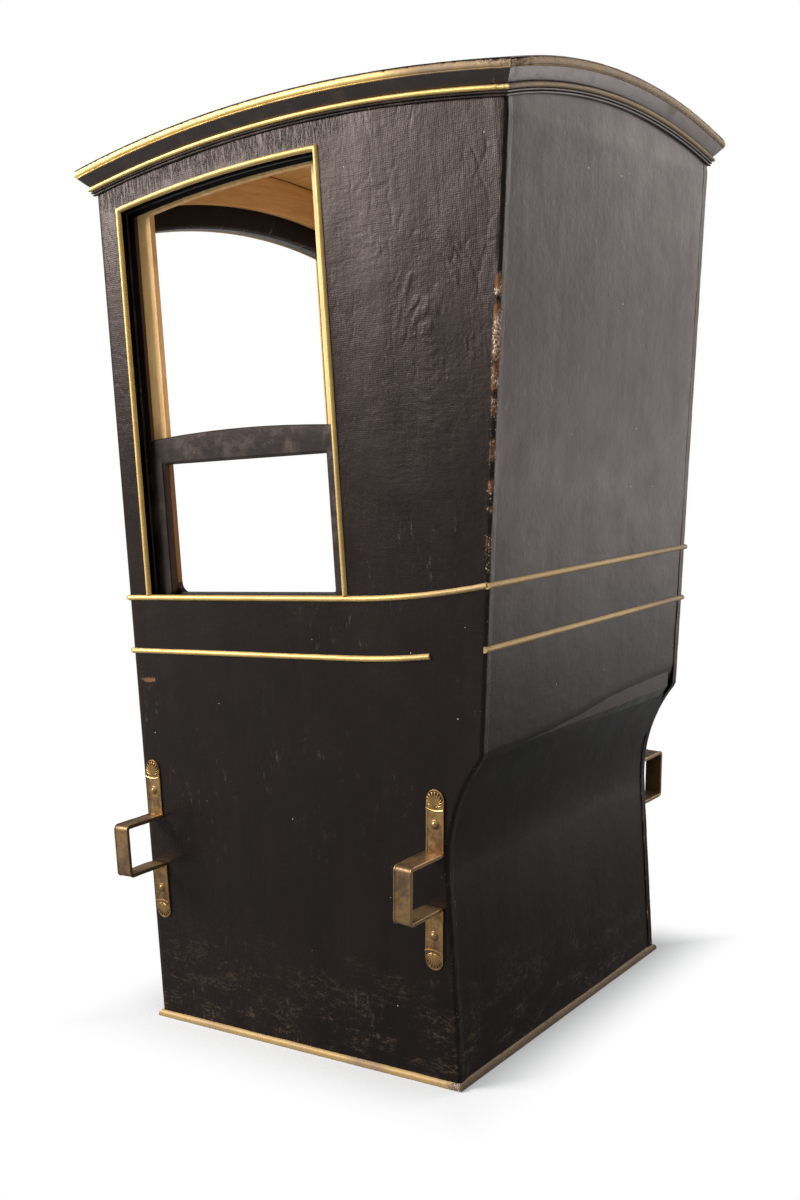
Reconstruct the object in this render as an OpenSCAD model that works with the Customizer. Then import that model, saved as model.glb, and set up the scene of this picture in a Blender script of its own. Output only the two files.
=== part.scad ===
// A sedan chair: a boxed seat carried on two poles, entered through a front door.
// Millimetres. +Z is up, the door faces -Y, the occupant's left is +X,
// and the origin is on the floor under the middle of the cornice.

/* [Body] */
// Width over the two side walls
body_width = 710; // [560:1:900]
// Length of the body under the cornice, from the door's face to the top of the back
body_length = 854; // [700:1:1100]
// Height of the crown of the roof
total_height = 1652; // [1370:1:2000]
// Length of the body at the floor
floor_length = 669; // [560:1:820]
// Length of the body at the knee, where the reclined back turns in
knee_length = 746; // [620:1:900]
// Height of the knee
knee_height = 550; // [450:1:670]
// Height below which the back stands upright
tuck_height = 350; // [250:1:430]

/* [Walls] */
// Thickness of the leather-covered outer panels of the sides
panel_thickness = 20; // [12:1:30]
// Thickness of the wooden lining inside the sides
lining_thickness = 12; // [8:1:18]
// Thickness of the back
back_thickness = 22; // [14:1:30]
// Thickness of the door and of the front posts, along the chair
door_thickness = 26; // [20:1:34]
// Thickness of the roof shell
roof_thickness = 12; // [8:1:18]
// Height of the floor board's top above the ground
floor_height = 55; // [45:1:80]
// Thickness of the floor board
floor_thickness = 25; // [15:1:35]

/* [Cornice] */
// How far the cornice stands out from the walls
cornice_overhang = 28; // [22:1:40]
// Height of the cornice
cornice_height = 48; // [40:1:60]
// Height of the gilt fascia along the top of the cornice
fascia_height = 13; // [8:1:18]
// Width of the gilt bead under the cove
cornice_bead = 8; // [5:1:12]
// Rise of the cornice's arch along each side
side_rise = 40; // [25:1:70]
// Rise of the cornice's arch across the front and the back
end_rise = 48; // [30:1:80]

/* [Side windows] */
// Length of each side window's opening
window_length = 443; // [350:1:540]
// Distance from the door's face to the window's opening
window_setback = 55; // [50:1:90]
// Height of the window's sill above the ground
window_sill = 803; // [770:1:860]
// Height from the top of the window's opening to the cornice
window_margin = 46; // [30:1:70]
// Thickness of the sliding sash
sash_thickness = 13.4; // [9:0.1:18]
// Gap between the sash and each face of its channel
sash_clearance = 0.3; // [0.2:0.1:1]
// How far the sash reaches behind the edge of the opening
sash_overlap = 10; // [6:1:16]
// Width of the sash stiles that shows in the opening
sash_stile = 35; // [20:1:50]
// Height of the sash's top rail at its middle
sash_rail = 54; // [35:1:70]
// Distance by which the sash is let down from its closed place
sash_drop = 431; // [0:1:460]

/* [Door] */
// Gap all round the door
door_gap = 6; // [6:0.5:9]
// Width of the front posts
post_width = 46; // [46:1:60]
// Height of the head board that shows over the middle of the door, up to the roof shell
head_height = 57; // [50:1:90]
// Rise of the arch over the door
door_rise = 38; // [25:1:60]
// Width of the door's stiles
door_stile = 42; // [35:1:60]
// Height of the door's top rail
door_rail = 52; // [40:1:70]
// Height of the sill of the door's window above the lower waist moulding
door_window_rise = 8; // [3:1:40]
// How far the stops behind the door cover its edge
stop_cover = 15; // [10:1:20]
// Thickness of the stops, along the chair
stop_thickness = 12; // [8:1:20]
// Distance of the hinge pin in front of the door's face
hinge_offset = 9; // [8:0.5:12]
// Radius of the hinge knuckles
knuckle_radius = 6; // [4.5:0.5:8]
// Radius of the hinge pins
pin_radius = 2.5; // [2:0.5:4]
// Height of each hinge
hinge_height = 84; // [60:1:120]
// Width of each hinge leaf
leaf_width = 26; // [15:1:27]
// Thickness of each hinge leaf
leaf_thickness = 3; // [2:0.5:4]

/* [Mouldings] */
// Height of the waist mouldings and width of the window trims
bead_width = 10; // [6:1:14]
// How far the waist mouldings and the trims stand out
bead_depth = 6; // [3:0.5:7.5]
// Distance between the middles of the two waist mouldings
waist_spacing = 98; // [60:1:120]
// Rise of the waist mouldings towards the back corner
waist_rise = 21; // [0:1:40]
// Length of the level run of the waist mouldings past the window's trim
waist_level = 0; // [0:1:60]
// Length of the lower moulding that has come off the left side, from the back corner
waist_lost = 103; // [0:1:200]
// Height of the mouldings along the foot of the body
foot_height = 12; // [8:1:20]
// How far the foot mouldings stand out
foot_depth = 8; // [5:1:12]

/* [Pole brackets] */
// Clear opening of each pole loop, up and down
loop_height = 86; // [60:1:110]
// Clear opening of each pole loop, outwards
loop_reach = 89; // [60:1:110]
// Width of the bent straps
strap_width = 34; // [20:1:40]
// Thickness of the bent straps
strap_thickness = 5; // [3:0.5:8]
// Length of each bracket over the rounded ends of its strap
strap_length = 300; // [270:1:340]
// Height of the middle of the loops above the ground
bracket_height = 345; // [300:1:400]
// Distance of the front straps' middle from the door's face
front_bracket = 25; // [22:1:60]
// Distance of the rear straps' middle from the upright part of the back
rear_bracket = 21; // [21:1:80]
// Lean of the rear brackets towards the back, in degrees
rear_lean = 4.5; // [0:0.5:8]

/* [Seat] */
// Height of the seat's top above the ground
seat_height = 470; // [420:1:520]
// Thickness of the seat board and of the panel under it
seat_thickness = 20; // [14:1:28]
// Distance from the door's face to the seat's front edge
seat_front = 297; // [250:1:380]
// Width and height of the cleats that carry the seat
cleat = 22; // [15:1:30]

/* [Hidden] */
$fn = 96;

// Across the chair
half_width = body_width / 2;
wall_thickness = panel_thickness + sash_thickness + 2 * sash_clearance;
wall_inside = half_width - wall_thickness;
room_half = wall_inside - lining_thickness;
door_half = half_width - post_width - door_gap;
door_side = half_width - post_width;

// Along the chair
front_y = -body_length / 2;
rear_y = body_length / 2;
knee_y = front_y + knee_length;
tuck_y = front_y + floor_length;
post_y = front_y + door_thickness;
stop_y = post_y + door_gap;
stop_end_y = stop_y + stop_thickness;

// Up the chair
shell_gap = 0.3;                 // clearance under the curved roof
side_top = total_height - end_rise;
end_top = total_height - side_rise;
corner_top = side_top - side_rise;
recline_top = corner_top - cornice_height - 11;

// The arches: each is a circle given by its half chord and its rise
function arch_radius(half, rise) = (half * half + rise * rise) / (2 * rise);
function arch_drop(radius, u) = radius - sqrt(radius * radius - u * u);
side_radius = arch_radius(rear_y + cornice_overhang, side_rise);
end_radius = arch_radius(half_width + cornice_overhang, end_rise);
door_radius = arch_radius(door_half, door_rise);

// Outside surface of the roof
function roof_z(x, y) = total_height - arch_drop(end_radius, x) - arch_drop(side_radius, y);
// Peak of the arched top of a wall whose highest allowed line is at x, or at y
function side_wall_top(x) = roof_z(x, 0) - roof_thickness - shell_gap;
end_wall_top = roof_z(0, rear_y) - roof_thickness - shell_gap;

// The back: reclined from the cornice to the knee, then an arc into an upright foot
tuck_radius = arch_radius(knee_height - tuck_height, knee_y - tuck_y);
recline = atan2(rear_y - knee_y, recline_top - knee_height);
function back_y(z) = knee_y + (z - knee_height) * tan(recline);

// The side windows
window_y = front_y + window_setback + window_length / 2;
window_top = side_top - cornice_height - window_margin;
sash_length = window_length + 2 * sash_overlap;
sash_height = window_top - window_sill + 2 * sash_overlap;
sash_top = window_top + sash_overlap - sash_drop;
sash_bottom = sash_top - sash_height;
channel_depth = sash_thickness + 2 * sash_clearance;
view_length = window_length - 2 * sash_stile;

// The waist mouldings hang from the window's sill
upper_waist = window_sill - bead_width / 2 - 1;
lower_waist = upper_waist - waist_spacing;

// The door
hinge_x = door_half + door_gap / 2;
hinge_y = front_y - hinge_offset;
door_bottom = floor_height + 2 * door_gap;
door_height = end_wall_top - head_height - door_gap;
door_window_sill = lower_waist + bead_width / 2 + door_window_rise;
low_hinge = 255;                 // from the door's lower edge to the middle of the hinge
high_hinge = 280;                // from the door's top to the middle of the hinge
hinge_heights = [door_bottom + low_hinge, door_height - high_hinge];
knuckle_gap = 1;
leaf_edge = 1;                   // from the leaf to the edge it is screwed along
web_reach = 8;                   // how far the web lies along its leaf
bore_gap = 0.3;                  // between the pin and its bore
pin_head = 3;                    // height of the button at each end of the pin

// The mouldings on the side sweep up on an arc that starts where the level run ends
waist_turn = window_y + window_length / 2 + bead_width + waist_level;
waist_end = back_y(upper_waist);
waist_radius = arch_radius(waist_end - waist_turn, max(waist_rise, 0.5));
function waist_z(middle) = middle + waist_rise;

bracket_ys = [front_y + front_bracket, tuck_y - rear_bracket];

reach = 3000;                    // longer than anything it cuts

// Everything on the right is the left piece mirrored
module on_side(side) {
    if (side == "left") children();
    else mirror([1, 0, 0]) children();
}

// Stands a drawing of the side, (y, z), at x and thickens it outwards
module side_slab(x, thickness)
    translate([x, 0, 0]) rotate([90, 0, 90]) linear_extrude(thickness) children();

// Stands a drawing of the front, (x, z), at y and thickens it towards the back
module front_slab(y, thickness)
    translate([0, y + thickness, 0]) rotate([90, 0, 0]) linear_extrude(thickness) children();

// A rectangle from one corner to the other
module block_2d(from, to)
    translate(from) square([to[0] - from[0], to[1] - from[1]]);

module block(from, to)
    translate(from) cube([to[0] - from[0], to[1] - from[1], to[2] - from[2]]);

// The area below an arch whose peak is at [middle, top]
module under_arch(middle, top, radius)
    translate([middle, top - radius]) circle(radius, $fn = 360);

// The side as a drawing, moved forward by inset, open at the top
module side_outline(from_y, inset) {
    difference() {
        polygon([
            [from_y, 0], [tuck_y - inset, 0], [tuck_y - inset, tuck_height],
            [knee_y - inset, knee_height], [rear_y - inset, recline_top],
            [rear_y - inset, total_height], [from_y, total_height]
        ]);
        translate([tuck_y + tuck_radius - inset, tuck_height]) circle(tuck_radius, $fn = 180);
    }
}

// A window's opening: square below, arched above, grown by margin on three sides
module window_2d(middle, length, sill, top, margin)
    intersection() {
        block_2d([middle - length / 2 - margin, sill], [middle + length / 2 + margin, total_height]);
        under_arch(0, top + margin, side_radius);
    }

module floor_board()
    color("burlywood")
    block([-room_half, stop_end_y, floor_height - floor_thickness],
          [room_half, tuck_y - back_thickness, floor_height]);

// The board under the door, with a lip behind the door's lower edge
module door_sill()
    color("black") {
        block([-room_half, front_y, 0], [room_half, stop_end_y, floor_height + door_gap]);
        block([-room_half, stop_y, 0], [room_half, stop_end_y, floor_height + door_gap + stop_cover]);
    }

module seat_board()
    color("burlywood")
    block([-room_half, front_y + seat_front, seat_height - seat_thickness],
          [room_half, tuck_y - back_thickness, seat_height]);

module seat_front_panel()
    color("burlywood")
    block([-room_half, front_y + seat_front + seat_thickness, floor_height],
          [room_half, front_y + seat_front + 2 * seat_thickness, seat_height - seat_thickness]);

module seat_cleats()
    color("burlywood")
    for (side = ["left", "right"]) on_side(side)
        block([room_half - cleat, front_y + seat_front + 2 * seat_thickness, seat_height - seat_thickness - cleat],
              [room_half, tuck_y - back_thickness, seat_height - seat_thickness]);

// The outer panel, with the sash's channel cut into its inner face
module side_wall(side)
    color("black") on_side(side)
    difference() {
        side_slab(wall_inside, wall_thickness)
            difference() {
                intersection() {
                    side_outline(post_y, 0);
                    under_arch(0, side_wall_top(half_width), side_radius);
                }
                window_2d(window_y, window_length, window_sill, window_top, 0);
            }
        side_slab(wall_inside - 1, channel_depth + 1)
            window_2d(window_y, sash_length, sash_bottom - sash_overlap, window_top + sash_overlap, sash_clearance);
    }

module lining(side)
    color("burlywood") on_side(side)
    side_slab(room_half, lining_thickness)
        difference() {
            intersection() {
                side_outline(post_y, back_thickness + shell_gap);
                under_arch(0, side_wall_top(wall_inside), side_radius);
            }
            window_2d(window_y, view_length, window_sill, window_top - sash_overlap, 0);
        }

module back_wall()
    color("black")
    intersection() {
        side_slab(-wall_inside, 2 * wall_inside)
            difference() {
                side_outline(post_y, 0);
                side_outline(post_y - 1, back_thickness);
            }
        front_slab(0, rear_y + 1) under_arch(0, end_wall_top, end_radius);
    }

module front_post(side)
    color("black") on_side(side)
    block([door_side, front_y, 0],
          [half_width, post_y, roof_z(half_width, front_y) - roof_thickness - shell_gap]);

// The arched board over the door, with a lip behind the door's upper edge
module front_head()
    color("burlywood")
    for (layer = [[front_y, stop_y, door_gap], [stop_y, stop_end_y, -stop_cover + door_gap]])
        front_slab(layer[0], layer[1] - layer[0])
            intersection() {
                difference() {
                    block_2d([-min(door_side, room_half), door_height / 2], [min(door_side, room_half), total_height]);
                    under_arch(0, door_height + layer[2], door_radius);
                }
                under_arch(0, end_wall_top, end_radius);
            }

module door_stops()
    color("burlywood")
    for (side = ["left", "right"]) on_side(side)
        block([door_half - stop_cover, stop_y, floor_height + door_gap + stop_cover],
              [room_half, stop_end_y,
               door_height + door_gap - stop_cover - arch_drop(door_radius, room_half) - shell_gap]);

// The sash is a frame with an arched top rail, let down in its channel
module window_sash(side)
    color("black") on_side(side)
    side_slab(wall_inside + sash_clearance, sash_thickness)
        difference() {
            intersection() {
                block_2d([window_y - sash_length / 2, sash_bottom], [window_y + sash_length / 2, sash_top]);
                under_arch(window_y, sash_top, side_radius);
            }
            block_2d([window_y - view_length / 2, sash_bottom + sash_rail],
                     [window_y + view_length / 2, sash_top - sash_rail]);
        }

module window_trim(side)
    color("gold") on_side(side)
    side_slab(half_width, bead_depth)
        difference() {
            window_2d(window_y, window_length, window_sill, window_top, bead_width);
            window_2d(window_y, window_length, window_sill - 1, window_top, 0);
        }

// The roof is one arch carried along the other
roof_steps = 24;
module roof_shell() {
    columns = roof_steps + 1;
    count = columns * columns;
    function grid(lift) = [
        for (i = [0 : roof_steps], j = [0 : roof_steps])
            let (x = -half_width + i * body_width / roof_steps, y = front_y + j * body_length / roof_steps)
            [x, y, roof_z(x, y) - lift]
    ];
    function cell(i, j) = i * columns + j;
    outer = [for (i = [0 : roof_steps - 1], j = [0 : roof_steps - 1])
        each [[cell(i, j), cell(i, j + 1), cell(i + 1, j + 1)], [cell(i, j), cell(i + 1, j + 1), cell(i + 1, j)]]];
    inner = [for (f = outer) [f[0] + count, f[2] + count, f[1] + count]];
    ring = concat(
        [for (i = [0 : roof_steps - 1]) cell(i, 0)], [for (j = [0 : roof_steps - 1]) cell(roof_steps, j)],
        [for (i = [roof_steps : -1 : 1]) cell(i, roof_steps)], [for (j = [roof_steps : -1 : 1]) cell(0, j)]);
    edge = [for (k = [0 : len(ring) - 1])
        let (a = ring[k], b = ring[(k + 1) % len(ring)])
        each [[a, b, b + count], [a, b + count, a + count]]];
    color("black") polyhedron(concat(grid(0), grid(roof_thickness)), concat(outer, inner, edge));
}

// Profiles of the cornice as [depth below the top edge, distance out from the wall]
bead_out = cornice_overhang * 0.3;
thin_beads = 9;                  // height of the two thin black beads at the foot of the cornice
cove_end = cornice_height - thin_beads - cornice_bead;
cove_depth = cove_end - fascia_height;
cove_reach = cornice_overhang - 2 - bead_out;
core_profile = [
    [fascia_height, 0], [fascia_height, cornice_overhang - 2],
    [fascia_height + 0.22 * cove_depth, bead_out + 0.56 * cove_reach],
    [fascia_height + 0.57 * cove_depth, bead_out + 0.2 * cove_reach],
    [cove_end, bead_out], [cornice_height - thin_beads, bead_out],
    [cornice_height - thin_beads, bead_out - 1], [cornice_height, bead_out - 4], [cornice_height, 0]
];
fascia_profile = [[0, 0], [0, cornice_overhang], [fascia_height, cornice_overhang], [fascia_height, 0]];
bead_profile = [
    [cove_end, bead_out], [cove_end, bead_out + cornice_bead / 2],
    [cove_end + cornice_bead, bead_out + cornice_bead / 2], [cove_end + cornice_bead, bead_out]
];

// Turns a profile along a side's arch, mitred at both corners
module side_run(side, profile)
    on_side(side)
    intersection() {
        translate([0, 0, side_top - side_radius]) rotate([0, 90, 0]) rotate([0, 0, 165])
            rotate_extrude(angle = 30, $fn = 720)
            polygon([for (p = profile) [side_radius - p[0], half_width + p[1]]]);
        mitre(half_width, rear_y, false);
    }

// Turns a profile along the front's or the back's arch, mitred at both corners
module end_run(end, profile)
    mirror([0, end == "front" ? 1 : 0, 0])
    intersection() {
        translate([0, 0, end_top - end_radius]) rotate([-90, 0, 0]) rotate([0, 0, 250])
            rotate_extrude(angle = 40, $fn = 720)
            polygon([for (p = profile) [end_radius - p[0], rear_y + p[1]]]);
        mitre(half_width, rear_y, true);
    }

// The wedge between the two corner mitres
module mitre(w, l, across) {
    b = cornice_overhang + 20;
    wedge = across
        ? [[-w + 5, l - 5], [w - 5, l - 5], [w + b, l + b], [-w - b, l + b]]
        : [[w - 5, -l + 5], [w + b, -l - b], [w + b, l + b], [w - 5, l - 5]];
    linear_extrude(reach) polygon(wedge);
}

module side_cornice(side) color("black") side_run(side, core_profile);
module end_cornice(end) color("black") end_run(end, core_profile);
module side_gilding(side) color("gold") {
    side_run(side, fascia_profile);
    side_run(side, bead_profile);
}
module end_gilding(end) color("gold") {
    end_run(end, fascia_profile);
    end_run(end, bead_profile);
}

// A waist moulding's drawing on the side: level, then swept up to the back corner
module waist_2d(middle, lost)
    intersection() {
        block_2d([front_y, 0], [back_y(middle) - lost, total_height]);
        union() {
            block_2d([front_y, middle - bead_width / 2], [waist_turn, middle + bead_width / 2]);
            difference() {
                translate([waist_turn, middle + waist_radius]) circle(waist_radius + bead_width / 2, $fn = 720);
                translate([waist_turn, middle + waist_radius]) circle(waist_radius - bead_width / 2, $fn = 720);
                block_2d([-reach, -reach], [waist_turn, 2 * reach]);
                block_2d([-reach, middle + 4 * bead_width + waist_rise], [reach, 2 * reach]);
            }
        }
        side_outline(front_y, 0);
    }

module waist_mouldings(side)
    color("gold") on_side(side)
    side_slab(half_width, bead_depth) {
        waist_2d(upper_waist, 0);
        waist_2d(lower_waist, side == "left" ? waist_lost : 0);
    }

module back_waist_mouldings()
    color("gold")
    for (middle = [waist_z(upper_waist), waist_z(lower_waist)])
        translate([-half_width - bead_depth, back_y(middle), middle]) rotate([-recline, 0, 0])
            translate([0, 0, -bead_width / 2]) cube([body_width + 2 * bead_depth, bead_depth, bead_width]);

module post_mouldings()
    color("gold")
    for (side = ["left", "right"], middle = [upper_waist, lower_waist]) on_side(side)
        block([door_side, front_y - bead_depth, middle - bead_width / 2],
              [half_width + bead_depth, front_y, middle + bead_width / 2]);

module side_foot(side)
    color("gold") on_side(side)
    block([half_width, front_y, 0], [half_width + foot_depth, tuck_y, foot_height]);

module end_foot(y)
    color("gold")
    block([-half_width - foot_depth, y, 0], [half_width + foot_depth, y + foot_depth, foot_height]);

// One bent strap: its rounded ends lie on the wall, and its middle stands out as a square loop
module pole_bracket(side, y, lean)
    color("goldenrod") on_side(side)
    translate([half_width, y, bracket_height]) rotate([-lean, 0, 0]) {
        end = strap_length / 2 - strap_width / 2;
        loop_half = loop_height / 2 + strap_thickness;
        rotate([90, 0, 90]) linear_extrude(strap_thickness)
            for (up = [-1, 1]) {
                translate([0, up * (loop_height / 2 + end) / 2])
                    square([strap_width, end - loop_height / 2], center = true);
                translate([0, up * end]) circle(strap_width / 2);
            }
        difference() {
            block([0, -strap_width / 2, -loop_half],
                  [loop_reach + strap_thickness, strap_width / 2, loop_half]);
            block([-1, -strap_width, -loop_height / 2], [loop_reach, strap_width, loop_height / 2]);
        }
    }

module door_window_2d(margin)
    intersection() {
        block_2d([-door_half + door_stile - margin, door_window_sill],
                 [door_half - door_stile + margin, door_height]);
        under_arch(0, door_height - door_rail + margin, door_radius);
    }

module door()
    color("black")
    front_slab(front_y, door_thickness)
        difference() {
            intersection() {
                block_2d([-door_half, door_bottom], [door_half, door_height]);
                under_arch(0, door_height, door_radius);
            }
            door_window_2d(0);
        }

module door_waist_moulding()
    color("gold")
    block([-door_half, front_y - bead_depth, lower_waist - bead_width / 2],
          [door_half, front_y, lower_waist + bead_width / 2]);

module door_window_trim()
    color("gold")
    front_slab(front_y - bead_depth, bead_depth)
        difference() {
            door_window_2d(bead_width);
            translate([0, -1]) door_window_2d(0);
        }

module door_knob()
    color("goldenrod")
    translate([-door_half + door_stile / 2, front_y, lower_waist - 60]) rotate([90, 0, 0]) {
        cylinder(r = 16, h = 2);
        cylinder(r = 4, h = 16);
        translate([0, 0, 12]) cylinder(r = 10, h = 10);
    }

// A knuckle round the hinge pin, with its bore
module knuckle(from_z, to_z)
    difference() {
        translate([hinge_x, hinge_y, from_z]) cylinder(r = knuckle_radius, h = to_z - from_z);
        translate([hinge_x, hinge_y, from_z - 1]) cylinder(r = pin_radius + bore_gap, h = to_z - from_z + 2);
    }

// The web that joins a leaf to its knuckle, clear of the pin
module web(from_x, to_x, from_z, to_z)
    block([from_x, hinge_y + pin_radius + 1, from_z], [to_x, front_y, to_z]);

module door_hinge_leaves()
    color("goldenrod")
    for (middle = hinge_heights) {
        third = hinge_height / 6;
        block([door_half - leaf_edge - leaf_width, front_y - leaf_thickness, middle - hinge_height / 2],
              [door_half - leaf_edge, front_y, middle + hinge_height / 2]);
        web(door_half - web_reach, hinge_x - 0.5, middle - third + knuckle_gap, middle + third - knuckle_gap);
        knuckle(middle - third + knuckle_gap, middle + third - knuckle_gap);
    }

module post_hinge_leaves()
    color("goldenrod")
    for (middle = hinge_heights) {
        third = hinge_height / 6;
        block([door_side + leaf_edge, front_y - leaf_thickness, middle - hinge_height / 2],
              [door_side + leaf_edge + leaf_width, front_y, middle + hinge_height / 2]);
        for (span = [[-hinge_height / 2, -third], [third, hinge_height / 2]]) {
            web(hinge_x + 0.5, door_side + web_reach, middle + span[0], middle + span[1]);
            knuckle(middle + span[0], middle + span[1]);
        }
    }

module hinge_pins()
    color("goldenrod")
    for (middle = hinge_heights) {
        translate([hinge_x, hinge_y, middle - hinge_height / 2]) cylinder(r = pin_radius, h = hinge_height);
        for (z = [-hinge_height / 2 - pin_head, hinge_height / 2])
            translate([hinge_x, hinge_y, middle + z]) cylinder(r = knuckle_radius - 1, h = pin_head);
    }

floor_board();
door_sill();
seat_board();
seat_front_panel();
seat_cleats();
side_wall("left");  // left_side_wall
side_wall("right");  // right_side_wall
lining("left");  // left_lining
lining("right");  // right_lining
back_wall();
front_post("left");  // left_front_post
front_post("right");  // right_front_post
front_head();
door_stops();
window_sash("left");  // left_window_sash
window_sash("right");  // right_window_sash
window_trim("left");  // left_window_trim
window_trim("right");  // right_window_trim
roof_shell();
side_cornice("left");  // left_cornice
side_cornice("right");  // right_cornice
end_cornice("front");  // front_cornice
end_cornice("back");  // back_cornice
side_gilding("left");  // left_cornice_gilding
side_gilding("right");  // right_cornice_gilding
end_gilding("front");  // front_cornice_gilding
end_gilding("back");  // back_cornice_gilding
waist_mouldings("left");  // left_waist_mouldings
waist_mouldings("right");  // right_waist_mouldings
back_waist_mouldings();
post_mouldings();
side_foot("left");  // left_foot_moulding
side_foot("right");  // right_foot_moulding
end_foot(front_y - foot_depth);  // front_foot_moulding
end_foot(tuck_y);  // back_foot_moulding
pole_bracket("left", bracket_ys[0], 0);  // left_front_pole_bracket
pole_bracket("right", bracket_ys[0], 0);  // right_front_pole_bracket
pole_bracket("left", bracket_ys[1], rear_lean);  // left_rear_pole_bracket
pole_bracket("right", bracket_ys[1], rear_lean);  // right_rear_pole_bracket
door();
door_waist_moulding();
door_window_trim();
door_knob();
door_hinge_leaves();
post_hinge_leaves();
hinge_pins();
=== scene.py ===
import math
import bmesh
import bpy
import numpy as np
from mathutils import Matrix, Vector, noise


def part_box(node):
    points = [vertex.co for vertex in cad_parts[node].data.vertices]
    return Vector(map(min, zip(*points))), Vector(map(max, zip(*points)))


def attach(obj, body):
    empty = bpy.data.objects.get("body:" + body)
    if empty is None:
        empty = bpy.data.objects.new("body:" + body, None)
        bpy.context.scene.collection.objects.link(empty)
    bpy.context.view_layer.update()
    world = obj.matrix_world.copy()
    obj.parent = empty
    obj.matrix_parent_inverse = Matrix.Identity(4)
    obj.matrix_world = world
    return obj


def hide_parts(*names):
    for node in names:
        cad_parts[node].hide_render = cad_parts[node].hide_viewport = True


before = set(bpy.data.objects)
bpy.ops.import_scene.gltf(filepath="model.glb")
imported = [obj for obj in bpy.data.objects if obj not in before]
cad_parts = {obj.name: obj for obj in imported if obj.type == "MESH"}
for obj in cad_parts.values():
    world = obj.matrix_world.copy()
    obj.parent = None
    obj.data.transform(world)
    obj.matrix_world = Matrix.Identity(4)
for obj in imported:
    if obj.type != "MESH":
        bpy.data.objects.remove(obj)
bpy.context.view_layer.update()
scene = bpy.context.scene

# the chair's own measures, read from the frame where it has them
def low(node, axis):
    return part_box(node)[0]["xyz".index(axis)]


def high(node, axis):
    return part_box(node)[1]["xyz".index(axis)]


chair = {
    "half": high("left_side_wall", "x"),
    "front": low("left_front_post", "y"),
    "rear": high("left_side_wall", "y"),
    "foot": high("left_foot_moulding", "y"),
    "top": high("roof_shell", "z"),
    "kneeY": 0.319, "kneeZ": 0.550, "tuckZ": 0.350,
    "sideRise": 0.040, "endRise": 0.048,
    "windowFront": low("left_window_trim", "y") + 0.010,
    "windowRear": high("left_window_trim", "y") - 0.010,
    "sill": low("left_window_trim", "z"),
    "windowTop": high("left_window_trim", "z") - 0.010,
    "lowerWaist": low("door_waist_moulding", "z") + 0.005,
    "upperWaist": high("post_mouldings", "z") - 0.005,
    "waistRise": 0.021,
}
half, front, rear, foot = chair["half"], chair["front"], chair["rear"], chair["foot"]
overhang = high("left_cornice_gilding", "x") - half
topZ = chair["top"]


def archRadius(halfChord, rise):
    return (halfChord ** 2 + rise ** 2) / (2 * rise)


def drop(radius, u):
    return radius - math.sqrt(radius * radius - u * u)


sideRadius = archRadius(rear + overhang, chair["sideRise"])
endRadius = archRadius(half + overhang, chair["endRise"])
sideTop = topZ - chair["endRise"]
endTop = topZ - chair["sideRise"]
tuckWidth = chair["kneeY"] - foot
tuckHeight = chair["kneeZ"] - chair["tuckZ"]
tuckRadius = archRadius(tuckHeight, tuckWidth)
reclineTop = topZ - chair["sideRise"] - chair["endRise"] - 0.048 - 0.011
recline = math.atan2(rear - chair["kneeY"], reclineTop - chair["kneeZ"])


def roofZ(x, y):
    return topZ - drop(endRadius, x) - drop(sideRadius, y)


def backY(z):
    # outside of the back: upright foot, tucked arc, reclined panel
    if z >= chair["kneeZ"]:
        return min(chair["kneeY"] + (z - chair["kneeZ"]) * math.tan(recline), rear)
    if z <= chair["tuckZ"]:
        return foot
    rise = z - chair["tuckZ"]
    return foot + tuckRadius - math.sqrt(tuckRadius ** 2 - rise ** 2)


def windowArch(x, y):
    # height of the window's arched top, carried on round the back
    across = min(abs(x), half)
    return chair["windowTop"] - drop(sideRadius, y) + drop(endRadius, half) - drop(endRadius, across)


def smooth(a, b, v):
    t = min(max((v - a) / (b - a), 0.0), 1.0)
    return t * t * (3 - 2 * t)


def wave(x, y, z=0.0):
    return noise.noise(Vector((x, y, z)))


# camera
camera = {
    "place": (2.1113, 1.4606, 1.0047), "azimuth": -2.513153, "pitch": -0.096049,
    "roll": -0.062872, "lens": 41.33, "sensor": 36.0,
}


def placeCamera():
    data = bpy.data.cameras.new("chairCamera")
    data.sensor_fit = "VERTICAL"
    data.sensor_height = camera["sensor"]
    data.sensor_width = camera["sensor"]
    data.lens = camera["lens"]
    data.clip_start, data.clip_end = 0.05, 100
    a, p, r = camera["azimuth"], camera["pitch"], camera["roll"]
    forward = Vector((math.cos(p) * math.cos(a), math.cos(p) * math.sin(a), math.sin(p)))
    right = forward.cross(Vector((0, 0, 1))).normalized()
    up = right.cross(forward)
    side = math.cos(r) * right + math.sin(r) * up
    head = -math.sin(r) * right + math.cos(r) * up
    turn = Matrix((side, head, -forward)).transposed().to_4x4()
    obj = bpy.data.objects.new("chairCamera", data)
    obj.matrix_world = Matrix.Translation(camera["place"]) @ turn
    scene.collection.objects.link(obj)
    scene.camera = obj


placeCamera()
print("camera placed")

# node helpers
def addNode(tree, kind, inputs=None, **settings):
    node = tree.nodes.new(kind)
    for key, value in settings.items():
        setattr(node, key, value)
    for key, value in (inputs or {}).items():
        socket = node.inputs[key]
        if isinstance(value, bpy.types.NodeSocket):
            tree.links.new(value, socket)
        else:
            socket.default_value = value
    return node


def math2(tree, operation, a, b=0.0, clamp=False):
    node = addNode(tree, "ShaderNodeMath", {0: a, 1: b}, operation=operation)
    node.use_clamp = clamp
    return node.outputs[0]


def times(tree, a, b):
    return math2(tree, "MULTIPLY", a, b)


def plus(tree, a, b):
    return math2(tree, "ADD", a, b)


def minus(tree, a, b, clamp=False):
    return math2(tree, "SUBTRACT", a, b, clamp)


def most(tree, a, b):
    return math2(tree, "MAXIMUM", a, b)


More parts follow.
